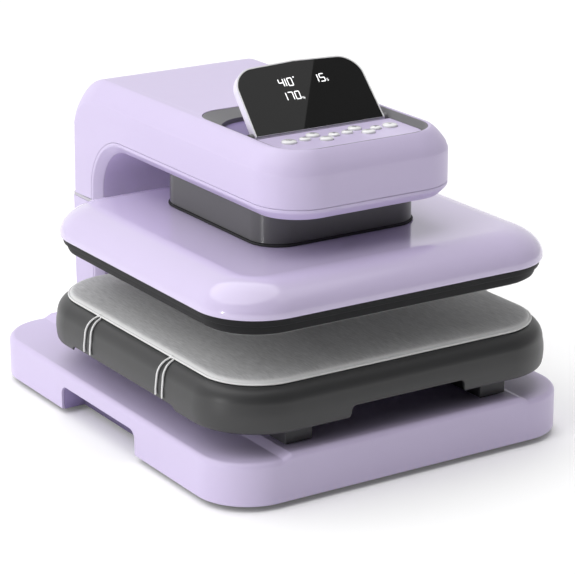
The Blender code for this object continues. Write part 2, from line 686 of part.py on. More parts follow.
def display_outline(inset, low):
    """Display's face, up from the hinge axis: a little narrower and slightly arched at the top."""
    half, top, r = DISPLAY_HALF - inset, DISPLAY_LONG - inset, DISPLAY_R - inset
    corners = arc(half - r, top - r, r, 0, 90) + arc(-half + r, top - r, r, 90, 180)
    shaped = [(-half, low), (half, low)]
    for x, s in corners:
        share = (s / top) ** 2
        shaped.append((x * (1 - DISPLAY_NARROWING / half * share),
                       s - DISPLAY_ARCH * share * (x / half) ** 2))
    return shaped


def tilt_display(*objects):
    """Turn flat display pieces, modelled about the origin, to the open pose at the hinge."""
    axis_y, axis_z = DISPLAY_AXIS
    move = (Matrix.Translation((0.0, axis_y * MM, axis_z * MM))
            @ Matrix.Rotation(math.radians(DISPLAY_TILT), 4, "X"))
    for obj in objects:
        obj.data.transform(move)


def make_display():
    half_thick = DISPLAY_THICK / 2
    housing = prism("display_housing", [display_outline(0.0, 0.0)], -half_thick, half_thick)
    open_top = half_thick + 5.0
    barrel = prism("hinge_barrel", [circle(0.0, 0.0, half_thick, 24)],
                   -DISPLAY_HALF, DISPLAY_HALF, "X", cutter=True)
    glass_seat = prism("glass_seat", [display_outline(1.6, -6.0)], half_thick - 1.5, open_top, cutter=True)
    board_room = prism("board_room", [display_outline(5.0, 9.0)], -half_thick + 1.8, open_top, cutter=True)
    bore = prism("housing_bore", [circle(0.0, 0.0, PIN_R + GAP, 16)], -100.0, 100.0, "X", cutter=True)
    glass = prism("display_glass", [display_outline(1.9, -2.0)], half_thick - 1.2, half_thick)
    board = prism("display_board", [display_outline(6.0, 10.0)], -half_thick + 3.0, -half_thick + 4.6)
    tilt_display(housing, barrel, glass_seat, board_room, bore, glass, board)
    join(housing, barrel)
    cut(housing, glass_seat, board_room, bore)
    paint(housing, LILAC, 0.3)
    paint(glass, (0.01, 0.01, 0.012), 0.08)
    paint(board, (0.02, 0.16, 0.07), 0.5)
    pivot("display_hinge", 0.0, *DISPLAY_AXIS, housing, glass, board)


def make_inlet():
    """Mains socket with its rocker switch, let into the back of the column."""
    frame = box_outline(INLET_X - INLET_HALF, INLET_X + INLET_HALF, *INLET_Z)
    inlet = prism("mains_inlet", [frame], 230.6, ARM_BACK + 1.2, "Y")
    socket_z = (INLET_Z[0] + 4.0, INLET_Z[0] + 22.0)
    socket = box_outline(INLET_X - 11.0, INLET_X + 11.0, *socket_z)
    cut(inlet, prism("socket_room", [socket], 234.0, 260.0, "Y", cutter=True))
    for x in (-6.0, 0.0, 6.0):
        blade = block(f"blade_form_{int(x) + 6}", (INLET_X + x - 1.0, INLET_X + x + 1.0), (233.0, 243.0),
                      (INLET_Z[0] + 10.0, INLET_Z[0] + 14.0), cutter=True)
        join(inlet, blade)
    switch_z = INLET_Z[1] - 12.0
    bay = box_outline(INLET_X - 11.0, INLET_X + 11.0, switch_z - 8.0, switch_z + 8.0)
    cut(inlet, prism("switch_bay", [bay], 236.0, 260.0, "Y", cutter=True))
    rocker_profile = [(238.0, switch_z - 3.0), (238.0, switch_z + 3.0), (244.0, switch_z + 6.2),
                      (248.6, switch_z + 6.2), (246.6, switch_z), (246.6, switch_z - 6.2),
                      (243.4, switch_z - 6.2)]
    rocker = prism("power_rocker", [rocker_profile], INLET_X - 10.5, INLET_X + 10.5, "X")
    paint(inlet, BLACK, 0.4)
    paint(rocker, BLACK, 0.3)
    pivot("rocker_axis", INLET_X, 242.0, switch_z, rocker)


def main():
    global PARTS, CUTTERS
    clear_scene()
    PARTS = new_collection("heat_press")
    CUTTERS = new_collection("cutters")
    make_base()
    make_tray()
    make_platen()
    make_frame()
    make_lift()
    make_arm()
    make_controls()
    make_display()
    make_inlet()
    bpy.context.view_layer.update()


main()
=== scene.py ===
"""Looks for the countertop heat press, put together in the order a fitter would: base, column and arm,
lower tray, upper platen, controls, display, back. Metres, +Z up, front facing -Y, in the frame's place."""
import json
import math

import bmesh
import bpy
from mathutils import Matrix, Vector


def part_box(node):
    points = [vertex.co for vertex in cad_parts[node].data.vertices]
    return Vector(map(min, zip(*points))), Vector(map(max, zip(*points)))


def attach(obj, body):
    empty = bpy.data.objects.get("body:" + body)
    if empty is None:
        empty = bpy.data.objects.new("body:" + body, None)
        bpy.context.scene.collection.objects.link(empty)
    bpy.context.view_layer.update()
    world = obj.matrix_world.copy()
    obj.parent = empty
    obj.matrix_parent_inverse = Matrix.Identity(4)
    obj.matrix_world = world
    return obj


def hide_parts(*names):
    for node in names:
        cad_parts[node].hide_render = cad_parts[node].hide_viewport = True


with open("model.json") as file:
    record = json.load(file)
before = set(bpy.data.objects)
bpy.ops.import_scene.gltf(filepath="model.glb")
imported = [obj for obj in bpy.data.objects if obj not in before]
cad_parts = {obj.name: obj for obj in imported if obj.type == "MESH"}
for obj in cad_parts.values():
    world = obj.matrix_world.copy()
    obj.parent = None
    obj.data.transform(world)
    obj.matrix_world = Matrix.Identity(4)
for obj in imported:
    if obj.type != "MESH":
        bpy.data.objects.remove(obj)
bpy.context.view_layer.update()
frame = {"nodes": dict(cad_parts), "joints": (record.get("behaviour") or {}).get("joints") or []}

# ------------------------------------------------------------------ camera
# A long lens from the front left and a little above, square to the press's near corner.
lens = bpy.data.cameras.new("camera")
lens.lens = 153.3
lens.sensor_width = 36.0
lens.clip_end = 100.0
camera = bpy.data.objects.new("camera", lens)
camera.location = (-1.3360, -2.1139, 0.9533)
camera.rotation_euler = (math.radians(90 - 18.23), math.radians(0.05), math.radians(-32.646))
bpy.context.scene.collection.objects.link(camera)
bpy.context.scene.camera = camera

# ------------------------------------------------------------------ studio
# A seamless pale floor under an even white sky. One large soft light from the left gives the bright
# left faces and the shadow to the right; a narrow strip draws the fine bright line down the left edges,
# and a weak light from the right opens the shaded faces.
bpy.context.scene.view_settings.view_transform = "Standard"


def feed(tree, socket, value):
    """Link an output to a socket, or give the socket a plain value."""
    if isinstance(value, bpy.types.NodeSocket):
        tree.links.new(value, socket)
    else:
        socket.default_value = value


def dress(tree, made_node, **inputs):
    """Set a node's named inputs."""
    for label, value in inputs.items():
        feed(tree, made_node.inputs[label.replace("_", " ")], value)


def node(tree, kind, **inputs):
    """Add a node and set its named inputs: a value, or an output to link."""
    made_node = tree.nodes.new(kind)
    dress(tree, made_node, **inputs)
    return made_node


def maths(tree, operation, *values):
    """Result of a maths node on values or outputs."""
    made_node = tree.nodes.new("ShaderNodeMath")
    made_node.operation = operation
    for socket, value in zip(made_node.inputs, values):
        feed(tree, socket, value)
    return made_node.outputs[0]


def new_finish(name):
    """An empty material: itself, its node tree and its surface shader."""
    finish = bpy.data.materials.new(name)
    finish.use_nodes = True
    return finish, finish.node_tree, finish.node_tree.nodes["Principled BSDF"]


sky = bpy.data.worlds.new("studio_sky")
bpy.context.scene.world = sky
sky.use_nodes = True
toward = sky.node_tree.nodes.new("ShaderNodeVectorMath")
toward.operation = "DOT_PRODUCT"
feed(sky.node_tree, toward.inputs[0], node(sky.node_tree, "ShaderNodeTexCoord").outputs["Generated"])
feed(sky.node_tree, toward.inputs[1], (0.02, 0.50, -0.10))
glow = maths(sky.node_tree, "ADD", toward.outputs["Value"], 0.50)
glow.node.use_clamp = True
dress(sky.node_tree, sky.node_tree.nodes["Background"], Strength=glow, Color=(1.0, 1.0, 1.0, 1.0))

floor_mesh = bpy.data.meshes.new("studio_floor")
floor_mesh.from_pydata([(-30, -30, 0), (30, -30, 0), (30, 30, 0), (-30, 30, 0)], [], [(0, 1, 2, 3)])
floor = bpy.data.objects.new("studio_floor", floor_mesh)
bpy.context.scene.collection.objects.link(floor)
floor_finish, floor_tree, floor_shader = new_finish("studio_floor")
dress(floor_tree, floor_shader, Base_Color=(0.96, 0.96, 0.96, 1.0), Roughness=0.9, Specular_IOR_Level=0.1,
      Emission_Color=(1.0, 1.0, 1.0, 1.0), Emission_Strength=0.09)
floor_mesh.materials.append(floor_finish)


def soft_light(name, place, target, size, power):
    """A square softbox at a place, turned to face its target."""
    lamp = bpy.data.lights.new(name, "AREA")
    lamp.shape = "RECTANGLE"
    lamp.size, lamp.size_y = size
    lamp.energy = power
    holder = bpy.data.objects.new(name, lamp)
    holder.location = place
    holder.rotation_euler = (Vector(target) - Vector(place)).to_track_quat("-Z", "Y").to_euler()
    bpy.context.scene.collection.objects.link(holder)
    return holder


left_light = soft_light("key_light", (-4.4, -0.5, 3.1), (0.0, 0.0, 0.2), (3.4, 3.4), 92.0)
left_light.visible_glossy = False
soft_light("edge_strip", (-3.2, -0.3, 0.5), (0.0, 0.0, 0.28), (0.10, 0.8), 12.0)
right_light = soft_light("right_fill", (3.2, -1.4, 1.5), (0.0, 0.0, 0.2), (2.4, 2.4), 12.0)
right_light.visible_glossy = False
overhead = bpy.data.lights.new("overhead", "SUN")
overhead.angle = math.radians(70)
overhead.energy = 1.62
overhead_holder = bpy.data.objects.new("overhead", overhead)
overhead_holder.rotation_euler = (math.radians(-14), math.radians(-8), 0.0)
bpy.context.scene.collection.objects.link(overhead_holder)
# A tall card whose straight edge shows as the slanted reflection across the display's glass.
card = soft_light("display_card", (1.190, -0.944, 3.014), (0.0, 0.0, 0.3), (1.0, 2.2), 3.8)
card.rotation_euler = (math.radians(-14.47), math.radians(-35.27), math.radians(174.09))

# ------------------------------------------------------------------ base
# A moulded lilac base in satin ABS: a flat rim, a slightly raised platform down the middle with sloped
# sides, and a hand hold let into the lower edge of each side. It stands on a black plate and rubber feet.


def link(name, mesh, body, node=None):
    """Show a mesh as a piece that rides on a body and, where it stands for one, hides its plain node."""
    piece = bpy.data.objects.new(name, mesh)
    bpy.context.scene.collection.objects.link(piece)
    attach(piece, body)
    if node:
        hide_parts(*([node] if isinstance(node, str) else node))
    return piece


def close(bm, name, sharp=34):
    """Finish a mesh under construction: outward faces, smooth shading, crisp real corners."""
    bmesh.ops.recalc_face_normals(bm, faces=bm.faces)
    mesh = bpy.data.meshes.new(name)
    bm.to_mesh(mesh)
    bm.free()
    mesh.shade_smooth()
    mesh.set_sharp_from_angle(angle=math.radians(sharp))
    return mesh


def paint(piece, *finishes):
    """Add finishes to a piece."""
    for finish in finishes:
        piece.data.materials.append(finish)


def thicken(piece, thickness, offset):
    """Give a sheet a wall, to one side of it."""
    wall = piece.modifiers.new("thickness", "SOLIDIFY")
    wall.thickness = thickness
    wall.offset = offset


def even_shading(piece):
    """Keep broad flat faces flat beside their rounded edges."""
    weighted = piece.modifiers.new("even_shading", "WEIGHTED_NORMAL")
    weighted.keep_sharp = True
    return piece


def arc(cx, cy, r, start, end, steps=8):
    """Points round (cx, cy) from start to end degrees."""
    return [(cx + r * math.cos(math.radians(start + (end - start) * i / steps)),
             cy + r * math.sin(math.radians(start + (end - start) * i / steps))) for i in range(steps + 1)]


def disc(cx, cy, r, steps):
    """Points right round (cx, cy)."""
    return arc(cx, cy, r, 0, 360, steps)[:-1]


def oblong(x0, y0, x1, y1):
    """The four corners of a rectangle."""
    return [(x0, y0), (x1, y0), (x1, y1), (x0, y1)]


def soft_oblong(half, low, high, front_r, back_r, front_steps, back_steps):
    """Plan of a rectangle with one corner radius at the front and another at the back."""
    f, b = front_r, back_r
    return (arc(-half + f, low + f, f, 180, 270, front_steps)
            + arc(half - f, low + f, f, 270, 360, front_steps)
            + arc(half - b, high - b, b, 0, 90, back_steps)
            + arc(-half + b, high - b, b, 90, 180, back_steps))


def corner_ring(half, front, back, radius, inset=0.0, steps=20, extra=()):
    """Plan of a rounded rectangle from the left side's front; extra adds x stations on its ends."""
    h, low, high, r = half - inset, front + inset, back - inset, max(radius - inset, 0.0005)
    return (arc(-h + r, low + r, r, 180, 270, steps) + [(x, low) for x in extra]
            + arc(h - r, low + r, r, 270, 360, steps) + arc(h - r, high - r, r, 0, 90, steps)
            + [(x, high) for x in reversed(extra)] + arc(-h + r, high - r, r, 90, 180, steps))


def bridge(bm, one, two, closed=True):
    """Join two rows of vertices with a band of faces, right round or only along."""
    for i in range(len(one) if closed else len(one) - 1):
        j = (i + 1) % len(one)
        bm.faces.new((one[i], one[j], two[j], two[i]))


def loft(bm, rings, cap_low=True, cap_high=True):
    """Join closed rings of 3D points with faces; returns the rings' vertices."""
    made = [[bm.verts.new(point) for point in ring] for ring in rings]
    for lower, upper in zip(made, made[1:]):
        bridge(bm, lower, upper)
    if cap_low:
        bm.faces.new(made[0][::-1])
    if cap_high:
        bm.faces.new(made[-1])
    return made


def solid(rings):
    """A closed body through rings of points."""
    bm = bmesh.new()
    loft(bm, rings)
    return bm


def hoop(rings):
    """A body right round an opening: the last ring joins back to the first."""
    bm = bmesh.new()
    made = loft(bm, rings, False, False)
    bridge(bm, made[-1], made[0])
    return bm


def slab(bm, outline, low, high):
    """Add a flat body between two heights."""
    loft(bm, [[(x, y, z) for x, y in outline] for z in (low, high)])


def levels(plan, profile):
    """Rings of a plan drawn in by each inset at each height."""
    return [[(x, y, z) for x, y in plan(inset)] for inset, z in profile]


def quarter(steps):
    """(across, up) shares round a quarter turn, from the side to the top."""
    return [(1 - math.cos(math.radians(90 * i / steps)), math.sin(math.radians(90 * i / steps)))
            for i in range(steps + 1)]


base_low, base_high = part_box("base_shell")
base_half, base_front, base_back = base_high.x, base_low.y, base_high.y
BASE_CORNER = 0.058
BASE_EDGE = 0.006
PLATFORM_RISE = 0.0044
PLATFORM_X = 0.1402
SLOPE_WIDTH = 0.0098
rim_top = base_high.z - PLATFORM_RISE


def base_top(x):
    """Height of the base's upper face across its width: rim, slope with soft feet, platform."""
    share = (PLATFORM_X + SLOPE_WIDTH - abs(x)) / SLOPE_WIDTH
    soft = 0.06
    share = min(max(share, -soft), 1 + soft)
    if share < soft:
        share = (share + soft) ** 2 / (4 * soft)
    elif share > 1 - soft:
        share = 1 - (1 + soft - share) ** 2 / (4 * soft)
    return rim_top + PLATFORM_RISE * share


foot_stations = (-0.06, -0.03, 0.0, 0.03, 0.06)
shares = (*foot_stations, 0.5, *(1 + s for s in foot_stations))
slope_stations = [PLATFORM_X + SLOPE_WIDTH * s for s in shares]
base_stations = [-x for x in reversed(slope_stations)] + slope_stations
WALL = 0.003


def base_plan(inset):
    """The base's outline, with extra points where the platform's slopes meet its front and back."""
    return corner_ring(base_half, base_front, base_back, BASE_CORNER, inset, 24, base_stations)


side_rings = levels(base_plan, ((WALL, rim_top - WALL), (WALL, base_low.z), (0.0012, base_low.z),
                                (0.0003, base_low.z + 0.0005), (0.0, base_low.z + 0.0014)))
for across, up in quarter(7):
    side_rings.append([(x, y, base_top(x) - BASE_EDGE * (1 - up)) for x, y in base_plan(BASE_EDGE * across)])
shell = bmesh.new()
made = loft(shell, side_rings, cap_low=False, cap_high=False)
count = len(made[0])
for top in (made[-1], made[0]):
    for i in range(count // 2 - 1):
        shell.faces.new((top[i], top[i + 1], top[count - 2 - i], top[count - 1 - i]))


def applied(piece):
    """Fix a piece's modifiers into its mesh."""
    done = bpy.data.meshes.new_from_object(piece.evaluated_get(bpy.context.evaluated_depsgraph_get()))
    piece.modifiers.clear()
    piece.data = done
    return piece


def helper(bm, name):
    """A hidden body used only to cut or join."""
    piece = bpy.data.objects.new(name, close(bm, name))
    bpy.context.scene.collection.objects.link(piece)
    return piece


def combine(piece, other, operation="DIFFERENCE"):
    """Cut or join another body, then drop it."""
    change = piece.modifiers.new("shape", "BOOLEAN")
    change.operation = operation
    change.solver = "EXACT"
    change.object = other
    applied(piece)
    bpy.data.objects.remove(other, do_unlink=True)
    return piece


def drawn(outline, low, high, axis="Z"):
    """A closed body from an outline drawn out along an axis: (y, z) on X, (x, z) on Y, (x, y) on Z."""
    order = {"X": (2, 0, 1), "Y": (0, 2, 1), "Z": (0, 1, 2)}[axis]
    return solid([[[(u, v, w)[k] for k in order] for u, v in outline] for w in (low, high)])


def bevel_edges(mesh, test, width, steps=3):
    """Round the mesh edges whose two faces' normals and middle pass the test."""
    bm = bmesh.new()
    bm.from_mesh(mesh)
    bmesh.ops.remove_doubles(bm, verts=bm.verts, dist=1e-6)
    bmesh.ops.dissolve_limit(bm, angle_limit=0.0005, verts=bm.verts, edges=bm.edges)
    chosen = []
    for edge in bm.edges:
        if len(edge.link_faces) == 2:
            one, two = (face.normal for face in edge.link_faces)
            middle = (edge.verts[0].co + edge.verts[1].co) / 2
            if test(one, two, middle) or test(two, one, middle):
                chosen.append(edge)
    if chosen:
        bmesh.ops.bevel(bm, geom=chosen, offset=width, offset_type="OFFSET", segments=steps, profile=0.5,
                        affect="EDGES", clamp_overlap=True)
    bmesh.ops.recalc_face_normals(bm, faces=bm.faces)
    bm.to_mesh(mesh)
    bm.free()
    mesh.shade_smooth()
    mesh.set_sharp_from_angle(angle=math.radians(34))


HOLD_FRONT, HOLD_BACK, HOLD_TOP = -0.0704, 0.0887, 0.033
HOLD_DEPTH, HOLD_CORNER = 0.028, 0.010


def hold_outline(grow):
    """The hand hold's side view, grown all round."""
    r = HOLD_CORNER + grow
    return ([(HOLD_FRONT - grow, -0.01), (HOLD_BACK + grow, -0.01)]
            + arc(HOLD_BACK + grow - r, HOLD_TOP + grow - r, r, 0, 90)
            + arc(HOLD_FRONT - grow + r, HOLD_TOP + grow - r, r, 90, 180))


base = link("base_moulding", close(shell, "base_moulding"), "base", "base_shell")
for side in (-1, 1):
    ends = sorted((side * (base_half - HOLD_DEPTH), side * (base_half + 0.02)))
    combine(base, helper(drawn(hold_outline(0.0), *ends, "X"), "hold_cut"))
bevel_edges(base.data, lambda a, b, m: abs(a.x) > 0.99 and abs(b.x) < 0.05 and m.z < 0.036
            and HOLD_FRONT - 0.001 < m.y < HOLD_BACK + 0.001 and abs(m.x) > base_half - 0.0005, 0.0011)
even_shading(base)

for side, name in ((-1, "left"), (1, "right")):
    pocket = bmesh.new()
    trim = [(y, max(z, base_low.z)) for y, z in hold_outline(-0.0001)]
    mouth, far = side * (base_half - 0.0031), side * (base_half - HOLD_DEPTH)
    near_ring = [pocket.verts.new((mouth, y, z)) for y, z in trim]
    far_ring = [pocket.verts.new((far, y, z)) for y, z in trim]
    bridge(pocket, near_ring[1:] + near_ring[:1], far_ring[1:] + far_ring[:1], closed=False)
    pocket.faces.new(far_ring)
    lining = f"hand_hold_lining_{name}"
    thicken(link(lining, close(pocket, "hand_hold_lining"), "base", None), 0.0015, side)


def mixed(tree, share, one, two):
    """Colour part of the way from one to two."""
    made_node = tree.nodes.new("ShaderNodeMix")
    made_node.data_type = "RGBA"
    for socket, value in (("Factor", share), (6, one), (7, two)):
        feed(tree, made_node.inputs[socket], value)
    return made_node.outputs[2]


def ramp(tree, share, *stops):
    """Colour read off (position, colour) stops: the two ends, then any between them."""
    band = node(tree, "ShaderNodeValToRGB", Fac=share)
    for element, (position, colour) in zip(band.color_ramp.elements, stops):
        element.position = position
        element.color = (*colour, 1)
    for position, colour in stops[2:]:
        band.color_ramp.elements.new(position).color = (*colour, 1)
    return band.outputs["Color"]


def spread(tree, value, low, high, start=0.0, end=1.0):
    """A value's travel from start to end, spread from low to high."""
    return node(tree, "ShaderNodeMapRange", Value=value, From_Min=start, From_Max=end, To_Min=low,
                To_Max=high).outputs["Result"]


def bump(tree, height, strength, distance):
    """Surface normal tipped by a height."""
    tipped = node(tree, "ShaderNodeBump", Strength=strength, Distance=distance, Height=height)
    return tipped.outputs["Normal"]


def own_place(tree):
    """The piece's own coordinates."""
    return node(tree, "ShaderNodeTexCoord").outputs["Object"]


def noise(tree, place, scale, detail=2.0, roughness=0.5):
    """Even speckle about 0.5."""
    return node(tree, "ShaderNodeTexNoise", Vector=place, Scale=scale, Detail=detail,
                Roughness=roughness).outputs["Fac"]


def new_group(name, takes, gives):
    """An empty node group with named inputs (with their usual values) and outputs."""
    group = bpy.data.node_groups.new(name, "ShaderNodeTree")
    for label, kind, usual in takes:
        socket = group.interface.new_socket(label, in_out="INPUT", socket_type=kind)
        if usual is not None:
            socket.default_value = usual
    for label, kind in gives:
        group.interface.new_socket(label, in_out="OUTPUT", socket_type=kind)
    return group, group.nodes.new("NodeGroupInput"), group.nodes.new("NodeGroupOutput")


# The surface of moulded plastic: faint drifts of shade where the melt flowed, a fine pebble from the
# tool, and corners rubbed a little lighter by hands.
skin, skin_in, skin_out = new_group(
    "moulded_skin",
    [("Colour", "NodeSocketColor", (0.5, 0.5, 0.5, 1)),
     ("Rubbed colour", "NodeSocketColor", (0.6, 0.6, 0.6, 1)),
     ("Roughness", "NodeSocketFloat", 0.3), ("Drift", "NodeSocketFloat", 0.03),
     ("Grain size", "NodeSocketFloat", 900.0), ("Grain depth", "NodeSocketFloat", 0.1),
     ("Rub", "NodeSocketFloat", 0.3)],
    [("Colour", "NodeSocketColor"), ("Roughness", "NodeSocketFloat"), ("Normal", "NodeSocketVector")])
place = own_place(skin)
drift_share = maths(skin, "MULTIPLY_ADD", noise(skin, place, 7.0, 3.0), skin_in.outputs["Drift"], 1.0)
shade = node(skin, "ShaderNodeHueSaturation", Color=skin_in.outputs["Colour"],
             Value=maths(skin, "MULTIPLY_ADD", skin_in.outputs["Drift"], -0.5, drift_share))
edge_mask = spread(skin, node(skin, "ShaderNodeNewGeometry").outputs["Pointiness"], 0.0, 1.0, 0.52, 0.62)
patchy = noise(skin, place, 60.0, 4.0)
rub_share = maths(skin, "MULTIPLY", maths(skin, "MULTIPLY", edge_mask, patchy), skin_in.outputs["Rub"])
pebble = noise(skin, place, skin_in.outputs["Grain size"])
dress(skin, skin_out,
      Colour=mixed(skin, rub_share, shade.outputs["Color"], skin_in.outputs["Rubbed colour"]),
      Roughness=maths(skin, "MULTIPLY_ADD", patchy, 0.06, skin_in.outputs["Roughness"]),
      Normal=bump(skin, pebble, skin_in.outputs["Grain depth"], 0.0002))


def moulded(name, colour, rubbed, roughness, drift=0.03, grain=900.0, depth=0.08, rub=0.3, coat=0.0):
    """A plastic finish drawn from the moulded skin."""
    finish, tree, shader = new_finish(name)
    surface = tree.nodes.new("ShaderNodeGroup")
    surface.node_tree = skin
    dress(tree, surface, Colour=(*colour, 1), Rubbed_colour=(*rubbed, 1), Roughness=roughness, Drift=drift,
          Grain_size=grain, Grain_depth=depth, Rub=rub)
    dress(tree, shader, Base_Color=surface.outputs["Colour"], Roughness=surface.outputs["Roughness"],
          Normal=surface.outputs["Normal"], Coat_Weight=coat, Coat_Roughness=0.08)
    return finish


LILAC = (0.578, 0.505, 0.712)
LILAC_RUBBED = (0.70, 0.64, 0.86)
satin_lilac = moulded("satin_lilac_plastic", LILAC, LILAC_RUBBED, 0.34, 0.03, 1400.0, 0.05, 0.25)
paint(base, satin_lilac)
# A darker copy of the lilac for the hand holds' linings: painted shade deep in the pockets.
painted_shade_lilac = moulded("lining_purple_plastic", (0.21, 0.165, 0.33), (0.30, 0.25, 0.42), 0.5, 0.05,
                        900.0, 0.1)
for name in ("left", "right"):
    paint(bpy.data.objects[f"hand_hold_lining_{name}"], painted_shade_lilac)


def refinish(finish, *names):
    """Put a finish on CAD nodes that keep their own shape."""
    for name in names:
        part = frame["nodes"][name]
        part.data.materials.clear()
        part.data.materials.append(finish)


black_rubber = moulded("black_rubber", (0.018, 0.018, 0.019), (0.05, 0.05, 0.05), 0.72, 0.3, 500.0,
                       0.4, 0.4)
powder_coat = moulded("black_powder_coat", (0.028, 0.028, 0.03), (0.10, 0.10, 0.10), 0.5, 0.15, 700.0,
                      0.5, 0.5)
refinish(black_rubber, "foot_front_left", "foot_front_right", "foot_rear_left", "foot_rear_right")
refinish(powder_coat, "base_plate", "lift_motor")

# ------------------------------------------------------------------ press frame and lift
# Laser-cut steel plates, ground rods and screw, bronze bushes, a nylon gear and the two green circuit
# boards. All of it sits inside the covers and keeps its CAD shape.


def metal(name, colour, roughness, streak, depth):
    """Bare metal with the fine directional lines its making left."""
    finish, tree, shader = new_finish(name)
    stretch = node(tree, "ShaderNodeMapping", Vector=own_place(tree), Scale=streak).outputs["Vector"]
    lines = noise(tree, stretch, 40.0, 4.0)
    tone = ramp(tree, lines, (0.3, [c * 0.8 for c in colour]), (0.7, colour))
    dress(tree, shader, Metallic=1.0, Base_Color=tone, Normal=bump(tree, lines, depth, 0.0001),
          Roughness=spread(tree, lines, roughness - 0.08, roughness + 0.1))
    return finish


refinish(metal("rolled_steel", (0.50, 0.51, 0.53), 0.42, (2, 2, 30), 0.15),
         "frame_side_left", "frame_side_right", "frame_back_plate", "head_plate", "platen_carrier",
         "tray_plate", "slide_rail_left", "slide_rail_right")
refinish(metal("ground_steel", (0.66, 0.67, 0.69), 0.2, (1, 1, 60), 0.08),
         "guide_rod_left", "guide_rod_right", "lift_screw", "motor_pinion", "display_hinge_pin")
refinish(metal("turned_bronze", (0.60, 0.42, 0.20), 0.3, (1, 1, 60), 0.1),
         "guide_bush_left", "guide_bush_right", "lift_nut")
refinish(moulded("nylon", (0.74, 0.72, 0.64), (0.8, 0.8, 0.75), 0.45, 0.05, 600.0, 0.1), "screw_gear")


def board_finish():
    """Green solder mask with pale pads on a regular pitch."""
    finish, tree, shader = new_finish("solder_mask")
    cells = node(tree, "ShaderNodeTexVoronoi", Vector=own_place(tree), Scale=180.0, Randomness=0.25)
    pads = ramp(tree, cells.outputs["Distance"], (0.16, (0.55, 0.52, 0.40)), (0.2, (0.012, 0.12, 0.045)))
    dress(tree, shader, Base_Color=pads, Roughness=0.35)
    return finish


refinish(board_finish(), "control_board", "display_board")

# ------------------------------------------------------------------ column and arm
# The upper cover is one lilac moulding: the column's upper half bent forward into the arm and head,
# with a soft sloping shoulder round its top. The lower column sleeve meets it at a grey seam strip.
arm_low, arm_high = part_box("arm_shell")
column_low, column_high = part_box("column_shell")
strip_low, strip_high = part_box("seam_strip")
well_low, well_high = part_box("well_liner")
arm_half, arm_front, arm_back, arm_top = arm_high.x, arm_low.y, arm_high.y, arm_high.z
seam_y = column_low.y
seam_z = 0.2755
ARCH_R = 0.068
HEAD_CORNER = 0.052
BACK_BEND = 0.055
SHOULDER_IN, SHOULDER_DOWN = 0.017, 0.0205
arch_y, arch_z = seam_y - ARCH_R, seam_z - ARCH_R
straight_end = arm_front + HEAD_CORNER


def shoulder_profile():
    """(inset, depth) from the top face's edge down the slope to the side, with soft ends."""
    points = [(SHOULDER_IN + 0.006, 0.0), (SHOULDER_IN + 0.002, 0.00008), (SHOULDER_IN, 0.0004)]
    for i in range(1, 6):
        share = i / 6
        bulge = 0.0013 * math.sin(math.pi * share)
        points.append((SHOULDER_IN * (1 - share) + bulge * -0.77, SHOULDER_DOWN * share - bulge * 0.64))
    return points + [(0.0015, SHOULDER_DOWN - 0.0010), (0.0006, SHOULDER_DOWN + 0.0005),
                     (0.0001, SHOULDER_DOWN + 0.0022), (0.0, SHOULDER_DOWN + 0.0048)]


def half_plan(inset, steps=22):
    """Front half of the head's plan, from the left side round the front to the right side."""
    h, r, cy = arm_half - inset, HEAD_CORNER - inset, straight_end
    left = arc(-h + r, cy, r, 180, 270, steps)
    return left + [(-x, y) for x, y in reversed(left)]


def top_path(steps=16):
    """Stations along the arm's top and down its back: (y, z), inward normal."""
    centre_y, centre_z = arm_back - BACK_BEND, arm_top - BACK_BEND
    stations = [((y, arm_top), (0.0, -1.0)) for y in (straight_end, -0.08, 0.0, 0.08, arch_y)]
    for i in range(steps + 1):
        a = math.radians(90 - 90 * i / steps)
        stations.append(((centre_y + BACK_BEND * math.cos(a), centre_z + BACK_BEND * math.sin(a)),
                         (-math.cos(a), -math.sin(a))))
    stations.append(((arm_back, arm_low.z), (-1.0, 0.0)))
    return stations


def seam_path(steps=16):
    """The arm's lower edge at the same stations: straight, round the arch, down to the strip."""
    stations = [(y, seam_z) for y in (straight_end, -0.08, 0.0, 0.08, arch_y)]
    stations += [(arch_y + ARCH_R * math.cos(a), arch_z + ARCH_R * math.sin(a))
                 for a in (math.radians(90 - 90 * i / steps) for i in range(steps + 1))]
    return stations + [(seam_y, arm_low.z)]


arm_mesh = bmesh.new()
profile = shoulder_profile()
tops, seams = top_path(), seam_path()
LIP = 0.0008


def arm_section(station, side):
    """One side's points from the top face's edge down to the seam, with a rolled lip at the end."""
    (y, z), (ny, nz) = tops[station]
    bend = min(1.0, max(0.0, (arm_top - 0.004 - z) / 0.06)) if station > 5 else 0.0
    points = []
    for inset, depth in profile:
        inset, depth = inset * (1 - 0.62 * bend), depth * (1 - 0.62 * bend)
        points.append(Vector((side * (arm_half - inset), y + ny * depth, z + nz * depth)))
    sy, sz = seams[station]
    points.append(Vector((side * arm_half, sy, sz + LIP)))
    points.append(Vector((side * (arm_half - LIP * 0.4), sy, sz + LIP * 0.2)))
    points.append(Vector((side * (arm_half - LIP * 1.6), sy, sz)))
    return points


